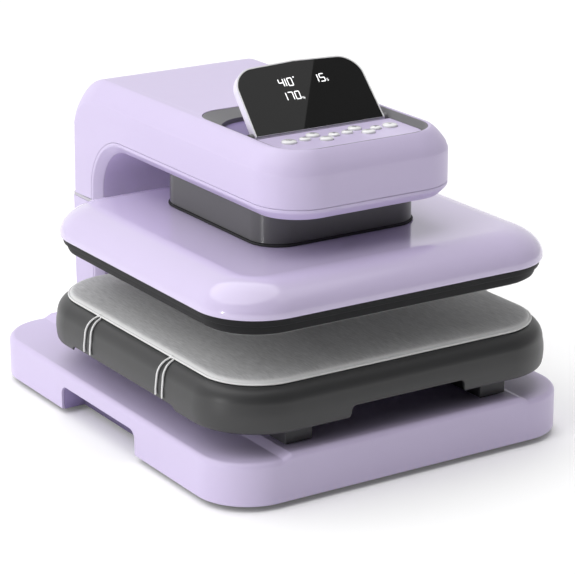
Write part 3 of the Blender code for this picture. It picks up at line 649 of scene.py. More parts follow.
columns = {side: [[arm_mesh.verts.new(p) for p in arm_section(s, side)] for s in range(len(tops))]
           for side in (-1, 1)}
front_rows = levels(half_plan, [(inset, arm_top - depth) for inset, depth in profile]
                    + [(0.0, seam_z + LIP), (LIP * 0.4, seam_z + LIP * 0.2), (LIP * 1.6, seam_z)])
rows = []
for level, row in enumerate(front_rows):
    verts = [arm_mesh.verts.new(p) for p in row[1:-1]]
    rows.append([columns[-1][0][level]] + verts + [columns[1][0][level]])
for strip in (rows, columns[-1], columns[1]):
    for here, there in zip(strip, strip[1:]):
        bridge(arm_mesh, here, there, closed=False)
left_edge, right_edge = ([section[0] for section in columns[side][4:]] for side in (-1, 1))
bridge(arm_mesh, left_edge, right_edge, closed=False)
arm_mesh.faces.new(rows[0] + [columns[1][s][0] for s in range(1, 5)]
                   + [columns[-1][s][0] for s in range(4, 0, -1)])
bmesh.ops.recalc_face_normals(arm_mesh, faces=arm_mesh.faces)
bmesh.ops.remove_doubles(arm_mesh, verts=arm_mesh.verts, dist=1e-7)
arm = link("arm_cover", close(arm_mesh, "arm_cover", 40), "base", "arm_shell")
thicken(arm, 0.0026, -1.0)
applied(arm)
WELL_FRONT_R, WELL_BACK_R = 0.037, 0.030
WELL_MARGIN = 0.0003


def well_plan(inset, steps=16):
    """The control well's outline: rounder at the front than at the back."""
    half = well_high.x + WELL_MARGIN - inset
    low, high = well_low.y - WELL_MARGIN + inset, well_high.y + WELL_MARGIN - inset
    return soft_oblong(half, low, high, WELL_FRONT_R - inset, WELL_BACK_R - inset, steps, steps)


combine(arm, helper(drawn(well_plan(0.0), 0.322, 0.34), "well_cut"))
bevel_edges(arm.data, lambda a, b, m: a.z > 0.99 and abs(b.z) < 0.05 and m.z > arm_top - 0.0005
            and well_low.y - 0.002 < m.y < well_high.y + 0.002 and abs(m.x) < well_high.x + 0.002, 0.0009)
even_shading(arm)
paint(arm, satin_lilac)


def column_body(low, high, inset, name, node_name):
    """The column's back and sides as a thick U, open to the throat."""
    half, back, r, wall = arm_half - inset, arm_back - inset, 0.006, 0.003
    outer = [(half, seam_y)] + arc(half - r, back - r, r, 0, 90, 6) + arc(-half + r, back - r, r, 90, 180, 6)
    inner = [(-half + wall, seam_y), (-half + wall, back - wall), (half - wall, back - wall),
             (half - wall, seam_y)]
    bm = drawn(outer + [(-half, seam_y)] + inner, low, high)
    return link(name, close(bm, name), "base", node_name)


lower_column = column_body(column_low.z, column_high.z, 0.0, "lower_column", "column_shell")
inlet_low, inlet_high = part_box("mains_inlet")
GAP = 0.0003
window = oblong(inlet_low.x - GAP, inlet_low.z - GAP, inlet_high.x + GAP, inlet_high.z + GAP)
combine(lower_column, helper(drawn(window, arm_back - 0.02, arm_back + 0.02, "Y"), "inlet_cut"))
bevel_edges(lower_column.data, lambda a, b, m: abs(a.z) > 0.99 and abs(b.z) < 0.05
            and m.z > column_high.z - 0.001
            and (abs(m.x) > arm_half - 0.001 or m.y > arm_back - 0.001), 0.0007)
even_shading(lower_column)
paint(lower_column, satin_lilac)
seam = column_body(strip_low.z, strip_high.z, 0.0004, "column_seam", "seam_strip")
even_shading(seam)
paint(seam, moulded("grey_seam", (0.46, 0.44, 0.50), (0.6, 0.6, 0.6), 0.5, 0.05, 900.0, 0.1))

# ------------------------------------------------------------------ throat closing shell
# A second lilac moulding closes the arm's underside and the column's front. A rim meets the cover at the
# seam, then a broad chamfer turns it under, and the platen's sleeve comes out through its opening.
RIM, CHAMFER = 0.0038, 0.0085
liner_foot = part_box("throat_liner")[0].z
under_z = seam_z - RIM - CHAMFER
under_r = ARCH_R - RIM - CHAMFER
under_y = seam_y - RIM - CHAMFER
TURN = 0.0011


def liner_profile():
    """(inset, height above the underside) from the flat underside out and up to the seam."""
    return [(CHAMFER + 0.004, 0.0), (CHAMFER + TURN, 0.0), (CHAMFER - TURN * 0.4, TURN * 0.35),
            (TURN * 0.8, CHAMFER - TURN * 0.8), (TURN * 0.15, CHAMFER + TURN * 0.2), (0.0, CHAMFER + TURN),
            (0.0, CHAMFER + RIM - LIP), (LIP * 0.4, CHAMFER + RIM - LIP * 0.3),
            (LIP * 1.6, CHAMFER + RIM - GAP * 0.5)]


def under_path(steps=16):
    """Stations along the underside, round the arch and down the column: (y, z), normal into the arm."""
    stations = [((y, under_z), (0.0, 1.0)) for y in (straight_end, arch_y)]
    for i in range(1, steps + 1):
        a = math.radians(90 - 90 * i / steps)
        across, up = math.cos(a), math.sin(a)
        stations.append(((arch_y + under_r * across, arch_z + under_r * up), (across, up)))
    stations.append(((under_y, liner_foot), (1.0, 0.0)))
    return stations


liner_mesh = bmesh.new()
unders = under_path()
rise = liner_profile()
sides = {side: [[liner_mesh.verts.new((side * (arm_half - inset), y + ny * up, z + nz * up))
                 for inset, up in rise] for (y, z), (ny, nz) in unders] for side in (-1, 1)}
liner_rows = []
for level, (inset, up) in enumerate(rise):
    verts = [liner_mesh.verts.new((x, y, under_z + up)) for x, y in half_plan(inset)[1:-1]]
    liner_rows.append([sides[-1][0][level]] + verts + [sides[1][0][level]])
for strip in (liner_rows, sides[-1], sides[1]):
    for here, there in zip(strip, strip[1:]):
        bridge(liner_mesh, here, there, closed=False)
liner_mesh.faces.new(liner_rows[0] + [sides[1][1][0], sides[-1][1][0]])
bridge(liner_mesh, [row[0] for row in sides[-1][1:]], [row[0] for row in sides[1][1:]], closed=False)
liner = link("throat_cover", close(liner_mesh, "throat_cover", 40), "base", "throat_liner")
thicken(liner, 0.0024, -1.0)
applied(liner)
sleeve_low, sleeve_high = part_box("sleeve")
SLEEVE_R = 0.0337


def sleeve_plan(inset):
    """The sleeve's outline."""
    return corner_ring(sleeve_high.x, sleeve_low.y, sleeve_high.y, SLEEVE_R, inset, 20)


combine(liner, helper(drawn(sleeve_plan(-0.0012), 0.25, 0.272), "sleeve_cut"))
even_shading(liner)
# A lighter copy of the lilac for the flat underside and the arch's inside: painted fill light where the head
# shades them.
painted_fill_lilac = moulded("throat_lilac_plastic", (0.80, 0.70, 0.97), (0.84, 0.78, 0.97), 0.36, 0.03, 1400.0,
                       0.05, 0.25)
paint(liner, satin_lilac, painted_fill_lilac)
for face in liner.data.polygons:
    if abs(face.normal.x) < 0.1 and face.center.y > straight_end and abs(face.center.x) < arm_half - CHAMFER:
        face.material_index = 1

# ------------------------------------------------------------------ lower tray
# A charcoal moulded tray with bulging sides and a rounded rim. A finger recess is cut in its front edge
# and a shallow dip in each side; it runs on two black runners over the base's rails.
tray_low, tray_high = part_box("tray_housing")
pad_low, pad_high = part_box("press_pad")
TRAY_CORNER = 0.0755
RIM_IN, RIM_DOWN, LEAN, WIDEST = 0.019, 0.019, 0.0015, 0.090
TRAY_WALL = 0.004


def tray_plan(inset):
    """The tray's outline."""
    return corner_ring(tray_high.x, tray_low.y, tray_high.y, TRAY_CORNER, inset, 26)


def tray_profile():
    """(inset, height) from the inner foot, round the lower edge, up the bulging side and over the rim."""
    points = [(TRAY_WALL, tray_low.z), (0.0034, tray_low.z), (0.0022, tray_low.z + 0.0007),
              (0.0014, tray_low.z + 0.0022), (0.0006, tray_low.z + 0.006), (0.0, WIDEST), (0.0004, 0.0975)]
    foot = tray_high.z - RIM_DOWN
    for across, up in quarter(10):
        points.append((LEAN + (RIM_IN - LEAN) * across, foot + RIM_DOWN * up))
    return points


hollow = [(0.018, 0.1175), (0.008, 0.112), (TRAY_WALL, 0.103)]
tray_mesh = solid(levels(tray_plan, hollow + tray_profile()))
tray = link("tray_moulding", close(tray_mesh, "tray_moulding"), "tray", "tray_housing")
dip = [(-0.144, 0.06), (0.074, 0.06), (0.074, 0.0762), (0.0725, 0.0785), (0.0685, 0.0815), (0.066, 0.082),
       (-0.136, 0.082), (-0.1385, 0.0815), (-0.1425, 0.0785), (-0.144, 0.0762)]
combine(tray, helper(drawn(dip, -0.26, 0.26, "X"), "dip_cut"))
FINGER = 0.069
finger = ([(-FINGER - 0.004, 0.06), (FINGER + 0.004, 0.06), (FINGER + 0.0015, 0.0775), (FINGER, 0.081)]
          + arc(FINGER - 0.006, 0.0835, 0.006, 0, 90, 5) + arc(-FINGER + 0.006, 0.0835, 0.006, 90, 180, 5)
          + [(-FINGER, 0.081), (-FINGER - 0.0015, 0.0775)])
combine(tray, helper(drawn(finger, -0.27, -0.228, "Y"), "finger_cut"))
bevel_edges(tray.data, lambda a, b, m: m.z < 0.0905 and m.z > tray_low.z + 0.0003
            and ((abs(a.x) > 0.9 and abs(b.x) < 0.3 and abs(m.x) > tray_high.x - 0.0016)
                 or (abs(a.y) > 0.9 and abs(b.y) < 0.3 and m.y < tray_low.y + 0.0016)), 0.0009)
even_shading(tray)
charcoal = moulded("charcoal_plastic", (0.033, 0.033, 0.034), (0.06, 0.06, 0.062), 0.36, 0.06, 1500.0,
                   0.18, 0.4)
black_plastic = moulded("black_plastic", (0.022, 0.021, 0.026), (0.06, 0.06, 0.06), 0.42, 0.1, 1200.0,
                        0.15, 0.4)
paint(tray, charcoal)

for side, name in ((-1, "left"), (1, "right")):
    low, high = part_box(f"tray_runner_{name}")
    section = [(low.x, low.z + 0.001), (low.x + 0.001, low.z), (high.x - 0.001, low.z),
               (high.x, low.z + 0.001), (high.x, high.z), (low.x, high.z)]
    runner = link(f"runner_{name}", close(drawn(section, low.y, high.y, "Y"), f"runner_{name}"), "tray",
                  f"tray_runner_{name}")
    rail_low, rail_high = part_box(f"slide_rail_{name}")
    channel = oblong(rail_low.x - 0.0006, 0.05, rail_high.x + 0.0006, rail_high.z + GAP)
    combine(runner, helper(drawn(channel, low.y + 0.010, high.y + 0.02, "Y"), "channel_cut"))
    bevel_edges(runner.data, lambda a, b, m: m.y < low.y + 0.0005 and abs(a.y) > 0.9 and abs(b.y) < 0.2,
                0.0035, 4)
    even_shading(runner)
    paint(runner, black_plastic)

# ------------------------------------------------------------------ press pad
# A silicone foam pad with a brushed grey cloth face. Its edge is bound in pale silicone: a rounded
# bead, a fine groove, then a soft roll up to the flat face.
PAD_CORNER = 0.062


def pad_plan(inset):
    """The pad's outline."""
    return corner_ring(pad_high.x, pad_low.y, pad_high.y, PAD_CORNER, inset, 30)


pad_rise = [(0.0030, 0.0), (0.0010, 0.0001), (0.0003, 0.0006), (0.0, 0.0014), (0.0002, 0.0022),
            (0.0010, 0.0028), (0.0017, 0.0027), (0.0021, 0.0023), (0.0025, 0.0027), (0.0030, 0.0036),
            (0.0040, 0.0045), (0.0056, 0.0051), (0.0080, 0.0055)]
pad_profile = [(inset, pad_low.z + up) for inset, up in pad_rise]
pad_profile += [(0.0115, pad_high.z - 0.00008), (0.016, pad_high.z)]
pad_mesh = solid(levels(pad_plan, pad_profile))
pad = link("press_pad_foam", close(pad_mesh, "press_pad_foam", 60), "tray", "press_pad")


def pad_finish():
    """Brushed cloth: fibres combed one way, grey, bleached pale towards the bound edge."""
    finish, tree, shader = new_finish("brushed_pad_cloth")
    place = own_place(tree)
    comb = node(tree, "ShaderNodeMapping", Vector=place, Scale=(1.0, 0.09, 1.0)).outputs["Vector"]
    fibre = noise(tree, comb, 900.0, 4.0, 0.65)
    cloth = ramp(tree, fibre, (0.3, (0.40, 0.40, 0.405)), (0.72, (0.62, 0.62, 0.625)))
    drift = spread(tree, noise(tree, comb, 60.0, 3.0), 0.86, 1.12)
    worn = node(tree, "ShaderNodeHueSaturation", Color=cloth, Value=drift).outputs["Color"]
    height = node(tree, "ShaderNodeSeparateXYZ", Vector=place).outputs["Z"]
    roll = spread(tree, height, 0.0, 1.0, pad_low.z + 0.0024, pad_high.z - 0.00015)
    bound = ramp(tree, roll, (0.0, (1, 1, 1)), (1.0, (0, 0, 0)), (0.55, (0.75, 0.75, 0.75)))
    dress(tree, shader, Base_Color=mixed(tree, bound, worn, (0.72, 0.72, 0.72, 1)), Roughness=0.85,
          Sheen_Weight=0.25, Sheen_Roughness=0.4, Normal=bump(tree, fibre, 0.5, 0.0003))
    return finish


paint(pad, pad_finish())

# ------------------------------------------------------------------ pad loops
# White covered-elastic loops hold the pad down. Two strands rise from under the tray's side, lean
# together over the rounded rim, and go in under the pad's edge.


def tray_side(z):
    """How far the tray's wall stands in from its widest line at height z."""
    foot = tray_high.z - RIM_DOWN
    if z < foot:
        return LEAN * max(0.0, (z - WIDEST) / (foot - WIDEST))
    share = min(1.0, (z - foot) / RIM_DOWN)
    return LEAN + (RIM_IN - LEAN) * (1 - math.sqrt(1 - share * share))


def elastic_finish():
    """White braid: fine slanted ribs round the cord."""
    finish, tree, shader = new_finish("white_elastic")
    wave = node(tree, "ShaderNodeTexWave", Vector=own_place(tree), Scale=500.0, Distortion=1.5)
    wave.bands_direction = "DIAGONAL"
    ribs = wave.outputs["Fac"]
    braid = ramp(tree, ribs, (0.0, (0.68, 0.68, 0.68)), (1.0, (0.86, 0.86, 0.86)))
    dress(tree, shader, Base_Color=braid, Roughness=0.75, Normal=bump(tree, ribs, 0.4, 0.0002))
    return finish


white_elastic = elastic_finish()
ELASTIC_R, LOOP_LEAN = 0.0011, 0.0026
for side, side_name in ((-1, "left"), (1, "right")):
    for end_name in ("front", "rear"):
        low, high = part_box(f"pad_loop_{end_name}_{side_name}")
        middle = (low.y + high.y) / 2
        strand = []
        for i in range(13):
            share = i / 12
            z = low.z + 0.0008 + (tray_high.z + 0.0012 - low.z) * math.sin(share * math.pi / 2) ** 0.9
            wall = tray_high.x - tray_side(min(z, tray_high.z - 0.0003))
            out = wall + ELASTIC_R + 0.0006 * share
            apart, lean = 0.0064 - 0.0052 * share ** 2.2, LOOP_LEAN * share ** 2.2
            strand.append((side * out, apart, middle - lean, z + 0.0006 * share))
        path = [(x, y + s, z) for x, s, y, z in strand]
        path += [(side * (pad_high.x + 0.0008), middle - LOOP_LEAN, tray_high.z + 0.0020)]
        path += [(x, y - s, z) for x, s, y, z in reversed(strand)]
        name = f"elastic_{end_name}_{side_name}"
        curve = bpy.data.curves.new(name, "CURVE")
        curve.dimensions = "3D"
        curve.bevel_depth = ELASTIC_R
        curve.bevel_resolution = 4
        curve.use_fill_caps = True
        spline = curve.splines.new("POLY")
        spline.points.add(len(path) - 1)
        for point, (x, y, z) in zip(spline.points, path):
            point.co = (x, y, z, 1.0)
        spline.use_smooth = True
        curve.materials.append(white_elastic)
        link(name, curve, "tray", f"pad_loop_{end_name}_{side_name}")

# ------------------------------------------------------------------ upper platen
# A high-gloss lilac dome over the heater: a short upright edge, a tight roll, a long soft shoulder and a
# flat top. Under it a black skirt steps in twice, and the coated aluminium plate shows inside that.
cover_low, cover_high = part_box("platen_cover")
band_low, band_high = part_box("platen_band")
COVER_CORNER = 0.0667


def cover_plan(inset):
    """The platen cover's outline."""
    return corner_ring(cover_high.x, cover_low.y, cover_high.y, COVER_CORNER, inset, 32)


def cover_profile():
    """(inset, height) up the cover: foot, roll, shoulder and the flat's soft edge."""
    base_z, top_z = cover_low.z, cover_high.z
    points = [(0.0032, base_z), (0.0012, base_z), (0.0003, base_z + 0.0004), (0.0, base_z + 0.0014),
              (0.0, base_z + 0.003)]
    reach_in, rise = 0.044, top_z - base_z - 0.004
    for i in range(1, 21):
        a = math.radians(90 * i / 20)
        points.append((reach_in * (1 - math.cos(a)) ** 0.92, base_z + 0.004 + rise * math.sin(a) ** 1.06))
    return points


dome_mesh = solid(levels(cover_plan, cover_profile()))
dome = link("platen_dome", close(dome_mesh, "platen_dome", 50), "platen", "platen_cover")
even_shading(dome)
gloss_lilac = moulded("gloss_lilac_plastic", LILAC, LILAC_RUBBED, 0.1, 0.03, 300.0, 0.02, 0.15, coat=0.6)
paint(dome, gloss_lilac)

SKIRT_THICK = 0.01175
skirt_profile = [(SKIRT_THICK, band_low.z), (0.0100, band_low.z), (0.0094, band_low.z + 0.0004),
                 (0.0084, 0.1775), (0.0076, 0.1800), (0.0070, 0.1832), (0.0068, 0.1840), (0.0052, 0.1842),
                 (0.0040, 0.1848), (0.0034, 0.1862), (0.0028, 0.1890), (0.0024, band_high.z),
                 (SKIRT_THICK, band_high.z)]
skirt_mesh = hoop(levels(cover_plan, skirt_profile))
skirt = link("platen_skirt", close(skirt_mesh, "platen_skirt"), "platen", "platen_band")
even_shading(skirt)
skirt_black = moulded("skirt_plastic", (0.008, 0.008, 0.009), (0.02, 0.02, 0.02), 0.5, 0.1, 1400.0, 0.12)
dress(skirt_black.node_tree, skirt_black.node_tree.nodes["Principled BSDF"], Specular_IOR_Level=0.18)
paint(skirt, skirt_black)


def coated_plate():
    """Grey non-stick coating on the plate's face, with a fleck; its sides are black."""
    finish, tree, shader = new_finish("nonstick_plate")
    fleck = noise(tree, own_place(tree), 1500.0, 3.0)
    coating = ramp(tree, fleck, (0.62, (0.40, 0.40, 0.405)), (0.72, (0.52, 0.52, 0.52)))
    facing = node(tree, "ShaderNodeSeparateXYZ", Vector=node(tree, "ShaderNodeTexCoord").outputs["Normal"])
    level = maths(tree, "ABSOLUTE", facing.outputs["Z"])
    dress(tree, shader, Base_Color=mixed(tree, level, (0.02, 0.02, 0.02, 1), coating), Metallic=0.4,
          Roughness=0.38, Normal=bump(tree, fleck, 0.2, 0.0001))
    return finish


refinish(coated_plate(), "heating_plate")
mineral_board = moulded("mineral_board", (0.62, 0.59, 0.52), (0.7, 0.68, 0.6), 0.9, 0.2, 250.0, 0.6)
refinish(mineral_board, "insulation_board")

# ------------------------------------------------------------------ sleeve
# A charcoal rectangular sleeve hides the lift. It is finely lined round its girth, so highlights run up it.
# It stands on the dome in a thin black gasket and slides up inside the head.
gasket_low, gasket_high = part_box("sleeve_flange")
SLEEVE_WALL = 0.0025
walls = ((SLEEVE_WALL, sleeve_high.z), (0.0006, sleeve_high.z), (0.0, sleeve_high.z - 0.0006),
         (0.0, sleeve_low.z + 0.0003), (0.0003, sleeve_low.z), (SLEEVE_WALL, sleeve_low.z))
tube = close(hoop(levels(sleeve_plan, walls)), "lift_sleeve")
sleeve = link("lift_sleeve", tube, "platen", "sleeve")
even_shading(sleeve)
satin_charcoal = moulded("satin_charcoal", (0.062, 0.062, 0.064), (0.12, 0.12, 0.12), 0.34, 0.05, 1800.0,
                         0.04, 0.3)
round_z = node(satin_charcoal.node_tree, "ShaderNodeTangent")
round_z.direction_type = "RADIAL"
round_z.axis = "Z"
dress(satin_charcoal.node_tree, satin_charcoal.node_tree.nodes["Principled BSDF"], Specular_IOR_Level=0.9,
      Anisotropic=0.95, Anisotropic_Rotation=0.25, Tangent=round_z.outputs["Tangent"])
paint(sleeve, satin_charcoal)
GASKET = gasket_high.x - sleeve_high.x
bead = ((SLEEVE_WALL, gasket_low.z), (0.0006 - GASKET, gasket_low.z), (-GASKET, gasket_low.z + 0.0006),
        (-GASKET, gasket_high.z - 0.0010), (0.0006 - GASKET, gasket_high.z - 0.0002), (0.0, gasket_high.z),
        (SLEEVE_WALL, gasket_high.z))
gasket = link("sleeve_gasket", close(hoop(levels(sleeve_plan, bead)), "sleeve_gasket"), "platen",
              "sleeve_flange")
even_shading(gasket)
paint(gasket, black_rubber)

# ------------------------------------------------------------------ control well and deck
# A charcoal tub is let into the head, scooped behind the display so a finger can lift it. The lilac deck
# lies in front with ten glossy white keys, and the display's pin runs in two lugs.
deck_low, deck_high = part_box("button_deck")
pin_low, pin_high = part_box("display_hinge_pin")
hinge_y, hinge_z = (pin_low.y + pin_high.y) / 2, (pin_low.z + pin_high.z) / 2
display_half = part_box("display_housing")[1].x
DISPLAY_LONG, DISPLAY_THICK, DISPLAY_R = 0.0785, 0.009, 0.024
DISPLAY_NARROWING, DISPLAY_ARCH = 0.0030, 0.0045
KEY_GAP, KEY_CROWN, MARK_SIZE, MARK_THICK, LUG_R = 0.0004, 0.0013, 0.0030, 0.00022, 0.0040
floor_z = well_low.z + 0.0025
well_middle = (well_low.y + well_high.y) / 2


def around(outline, z, steps=144):
    """An outline sampled at even angles about the well's middle, so unlike outlines can be lofted."""
    ring = []
    for i in range(steps):
        ux, uy = math.cos(math.tau * i / steps), math.sin(math.tau * i / steps)
        far = 0.0
        for (ax, ay), (bx, by) in zip(outline, outline[1:] + outline[:1]):
            ex, ey, py = bx - ax, by - ay, ay - well_middle
            across = ux * ey - uy * ex
            if abs(across) > 1e-12 and -1e-9 <= (ax * uy - py * ux) / across <= 1 + 1e-9:
                far = max(far, (ax * ey - py * ex) / across)
        ring.append((far * ux, well_middle + far * uy, z))
    return ring


def pit_plan(grow):
    """The pit's outline: the deck's round front, and the folded display's round back."""
    low, high = deck_low.y - KEY_GAP - grow, hinge_y + DISPLAY_LONG + 0.002 + grow
    return soft_oblong(deck_high.x + KEY_GAP + grow, low, high, 0.0304 + grow, 0.042 + grow, 12, 16)


tub_rings = [around(well_plan(i), z) for i, z in
             ((GAP, well_low.z), (GAP, well_high.z - 0.0003), (GAP + 0.0003, well_high.z),
              (0.0014, well_high.z), (0.0020, well_high.z - 0.0004))]
tub_rings += [around(pit_plan(i), z) for i, z in
              ((0.0008, deck_high.z + 0.0006), (0.0002, deck_high.z + 0.0003), (0.0, deck_high.z - 0.0004),
               (0.0, floor_z + 0.0002), (-0.0002, floor_z))]
well = link("control_well", close(solid(tub_rings), "control_well"), "base", "well_liner")
for side in (-1, 1):
    x = sorted((side * (display_half + 0.0006), side * (display_half + 0.0046)))
    lug = ([(hinge_y - 0.0035, floor_z - 0.001), (hinge_y + 0.004, floor_z - 0.001)]
           + arc(hinge_y, hinge_z, LUG_R, 0, 180, 10))
    combine(well, helper(drawn(lug, *x, "X"), "lug"), "UNION")
even_shading(well)
well_grey = moulded("well_grey_plastic", (0.15, 0.148, 0.155), (0.24, 0.24, 0.25), 0.42, 0.05, 1400.0, 0.1)
paint(well, well_grey, painted_shade_lilac)
# The tub's flat floor takes the darker lilac copy: painted shade at the bottom of the pit.
for face in well.data.polygons:
    if face.normal.z > 0.9 and face.center.z < floor_z + 0.0002:
        face.material_index = 1

KEYS = ("power", "temperature_left", "temperature_up", "temperature_down", "temperature_right",
        "time_left", "time_up", "time_down", "time_right", "start")


def deck_plan(inset):
    """The deck's outline: round at the front, nearly square at the hinge."""
    low, high = deck_low.y + inset, deck_high.y - inset
    return soft_oblong(deck_high.x - inset, low, high, 0.030 - inset, max(0.002 - inset, 0.0004), 14, 4)


deck_mesh = solid(levels(deck_plan, ((0.0, deck_low.z), (0.0, deck_high.z - 0.0006),
                                     (0.0002, deck_high.z - 0.0002), (0.0006, deck_high.z))))
deck = link("control_deck", close(deck_mesh, "control_deck"), "base", "button_deck")
for key in KEYS:
    low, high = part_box(f"{key}_button")
    centre = (low + high) / 2
    bore = disc(centre.x, centre.y, (high.x - low.x) / 2 + KEY_GAP, 32)
    combine(deck, helper(drawn(bore, 0.31, 0.34), "key_bore"))
bevel_edges(deck.data, lambda a, b, m: a.z > 0.99 and abs(b.z) < 0.05 and m.z > deck_high.z - 0.0002,
            0.0003, 2)
even_shading(deck)
paint(deck, satin_lilac)

white_gloss = moulded("white_gloss_plastic", (0.83, 0.83, 0.835), (0.88, 0.88, 0.88), 0.16, 0.02, 400.0, 0.02,
                      0.2, coat=0.5)
key_mark = moulded("key_mark_print", (0.20, 0.19, 0.22), (0.34, 0.33, 0.38), 0.4, 0.02, 900.0, 0.05)


def key_symbol(kind, cx, cy, z, size):
    """A thin printed mark: a plus, a minus, a bar in a ring, or a triangle that points left or right."""
    bm = bmesh.new()
    bars = {"up": [(1, 0.22), (0.22, 1)], "down": [(1, 0.22)], "ring": [(0.2, 0.75)]}.get(kind, [])
    outlines = [oblong(cx - size * w, cy - size * h, cx + size * w, cy + size * h) for w, h in bars]
    if kind == "ring":
        outlines.append(arc(cx, cy, size * 1.1, 60, -240, 24) + arc(cx, cy, size * 0.85, -240, 60, 24))
    if kind in ("left", "right"):
        first = 60 if kind == "left" else 0
        outlines.append(arc(cx, cy, size, first, first + 240, 2))
    for outline in outlines:
        slab(bm, outline, z, z + MARK_THICK)
    return bm


for key in KEYS:
    low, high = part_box(f"{key}_button")
    cx, cy, key_r = (low.x + high.x) / 2, (low.y + high.y) / 2, (high.x - low.x) / 2
    crown = high.z + KEY_CROWN
    shape = [(0.0, low.z), (0.0, crown - 0.0024)]
    shape += [(0.0017 * a, crown - 0.0024 + 0.0018 * u) for a, u in quarter(6)]
    shape += [(0.0026, crown - 0.00035), (0.0038, crown - 0.00012), (0.0052, crown)]
    cap = solid(levels(lambda inset: disc(cx, cy, key_r - inset, 40), shape))
    body = f"{key}_key"
    button = link(f"{key}_cap", close(cap, f"{key}_cap", 60), body, f"{key}_button")
    paint(button, white_gloss)
    kind = {"power": "ring", "start": "right"}.get(key, key.split("_")[-1])
    symbol = key_symbol(kind, cx, cy, crown - 0.00015, MARK_SIZE)
    mark = link(f"{key}_mark", close(symbol, f"{key}_mark"), body, None)
    paint(mark, key_mark)

# ------------------------------------------------------------------ display
# A thin lilac housing with a white lip round a black glass front. It tilts on a steel pin behind the deck,
# and its lit figures are plain seven-segment readings of heat and time.
hinge = Vector(next(j["pos_m"] for j in frame["joints"] if j["name"] == "display_tilt"))
DISPLAY_TILT = math.radians(47.5)
lay = Matrix.Translation(hinge) @ Matrix.Rotation(DISPLAY_TILT, 4, "X")


def display_plan(inset, low=0.0):
    """The display's face laid flat: square at the hinge, narrower, rounded and slightly arched at the top."""
    half, top, r = display_half - inset, DISPLAY_LONG - inset, DISPLAY_R - inset
    corners = arc(half - r, top - r, r, 0, 90, 18) + [(0.0, top)] + arc(-half + r, top - r, r, 90, 180, 18)
    return [(-half, low), (half, low)] + [(x * (1 - DISPLAY_NARROWING / half * (y / top) ** 2),
                                           y - DISPLAY_ARCH * (x * y / half / top) ** 2) for x, y in corners]


def laid(bm):
    """Take a body drawn flat at the pin to the display's tilt."""
    bmesh.ops.transform(bm, matrix=lay, verts=bm.verts)
    return bm


half_thick = DISPLAY_THICK / 2
case_levels = [(0.0012, -half_thick), (0.0003, -half_thick + 0.0004), (0.0, -half_thick + 0.0014),
               (0.0, half_thick - 0.0009), (0.0003, half_thick - 0.0003), (0.0009, half_thick)]
case = laid(solid(levels(display_plan, case_levels)))
housing = link("display_case", close(case, "display_case"), "display", "display_housing")
barrel = drawn(disc(0.0, 0.0, half_thick, 32), -display_half, display_half, "X")
combine(housing, helper(laid(barrel), "barrel"), "UNION")
seat = drawn(display_plan(0.0016, -0.006), half_thick - 0.0015, half_thick + 0.004)
combine(housing, helper(laid(seat), "glass_seat"))
combine(housing, helper(laid(drawn(disc(0.0, 0.0, 0.0018, 20), -0.1, 0.1, "X")), "pin_bore"))
even_shading(housing)
pale_lilac = moulded("pale_lilac_plastic", (0.71, 0.67, 0.80), (0.80, 0.77, 0.86), 0.3, 0.03, 1400.0, 0.05)
paint(housing, pale_lilac)

outer_plan, inner_plan = display_plan(0.0006, -0.0021), display_plan(0.0018, -0.0020)
lip_low, lip_high = half_thick - 0.0006, half_thick + 0.0004
rings = [[(x, y, z) for x, y in plan] for plan, z in
         ((outer_plan, lip_low), (outer_plan, lip_high), (inner_plan, lip_high), (inner_plan, lip_low))]
edge_lip = link("display_lip", close(laid(hoop(rings)), "display_lip"), "display", None)
paint(edge_lip, white_gloss)

pane_levels = ((0.0019, half_thick - 0.0012), (0.0019, half_thick - 0.0002), (0.0021, half_thick))
pane = laid(solid(levels(lambda inset: display_plan(inset, -0.0020), pane_levels)))
glass = link("display_pane", close(pane, "display_pane"), "display", "display_glass")


def glass_finish():
    """Black-backed glass with the least trace of polish marks."""
    finish, tree, shader = new_finish("black_display_glass")
    smear = noise(tree, own_place(tree), 30.0, 5.0)
    dark = ramp(tree, smear, (0.0, (0.0015, 0.0015, 0.0015)), (1.0, (0.0025, 0.0025, 0.0025)))
    dress(tree, shader, Base_Color=dark, Roughness=spread(tree, smear, 0.008, 0.016), Specular_IOR_Level=0.5)
    return finish


paint(glass, glass_finish())

SEGMENTS = {"0": "abcdef", "1": "fe", "4": "bcfg", "5": "acdfg", "7": "abc", "s": "acdfg", "l": "fe",
            "b": "cdefg"}


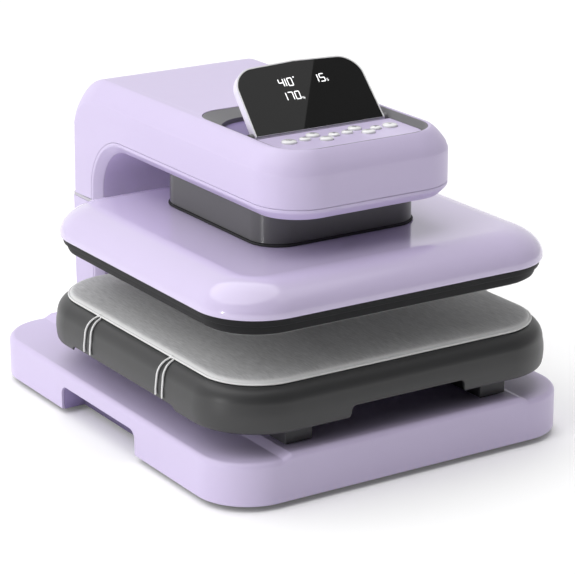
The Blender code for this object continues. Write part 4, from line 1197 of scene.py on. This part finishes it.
def seven_segment(bm, figure, x0, y0, wide, high, stroke):
    """Add one lit figure's bars to the mesh, flat on the display's face; returns the width used."""
    mid, nick, s = high / 2, stroke * 0.3, stroke / 2
    bars = {"a": (0, high, wide, high), "g": (0, mid, wide, mid), "d": (0, 0, wide, 0),
            "f": (0, mid, 0, high), "b": (wide, mid, wide, high), "e": (0, 0, 0, mid),
            "c": (wide, 0, wide, mid)}
    for name in SEGMENTS[figure]:
        ax, ay, bx, by = bars[name]
        if ay == by:
            outline = [(ax + nick - s, ay), (ax + nick, ay - s), (bx - nick, ay - s), (bx - nick + s, ay),
                       (bx - nick, ay + s), (ax + nick, ay + s)]
        else:
            outline = [(ax, ay + nick - s), (ax + s, ay + nick), (ax + s, by - nick), (ax, by - nick + s),
                       (ax - s, by - nick), (ax - s, ay + nick)]
        points = [(x0 + u, y0 + v) for u, v in outline]
        lift = 0.00006 + 0.000004 * "abcdefg".index(name)
        slab(bm, points, half_thick - 0.00005, half_thick + lift)
    return 0.0 if figure in "1l" else wide


figures = bmesh.new()
READINGS = (("410", -0.0268, 0.0495, 0.0052, 0.0088, 0.00115),
            ("170", -0.0244, 0.0333, 0.0052, 0.0088, 0.00115),
            ("15", 0.0202, 0.0490, 0.0052, 0.0088, 0.00115), ("s", 0.0304, 0.0488, 0.0015, 0.0026, 0.0005),
            ("lb", -0.0066, 0.0328, 0.0013, 0.0024, 0.0005))
for text, x, y, wide, high, stroke in READINGS:
    for figure in text:
        x += seven_segment(figures, figure, x, y, wide, high, stroke) + stroke * 2.4
slab(figures, disc(-0.0078, 0.0587, 0.0009, 16), half_thick - 0.00005, half_thick + 0.00008)
lit = link("display_figures", close(laid(figures), "display_figures"), "display", None)


def lit_finish():
    """Figures that glow a cool white, a little unevenly."""
    finish, tree, shader = new_finish("lit_figures")
    speckle = noise(tree, own_place(tree), 400.0)
    glow_colour = ramp(tree, speckle, (0.0, (0.82, 0.84, 0.86)), (1.0, (1.0, 1.0, 1.0)))
    dress(tree, shader, Base_Color=(0.8, 0.8, 0.8, 1), Emission_Strength=0.9, Emission_Color=glow_colour)
    return finish


paint(lit, lit_finish())

# ------------------------------------------------------------------ back
# A black moulded mains inlet with its rocker switch clips into the back of the column.
refinish(black_plastic, "mains_inlet", "power_rocker")
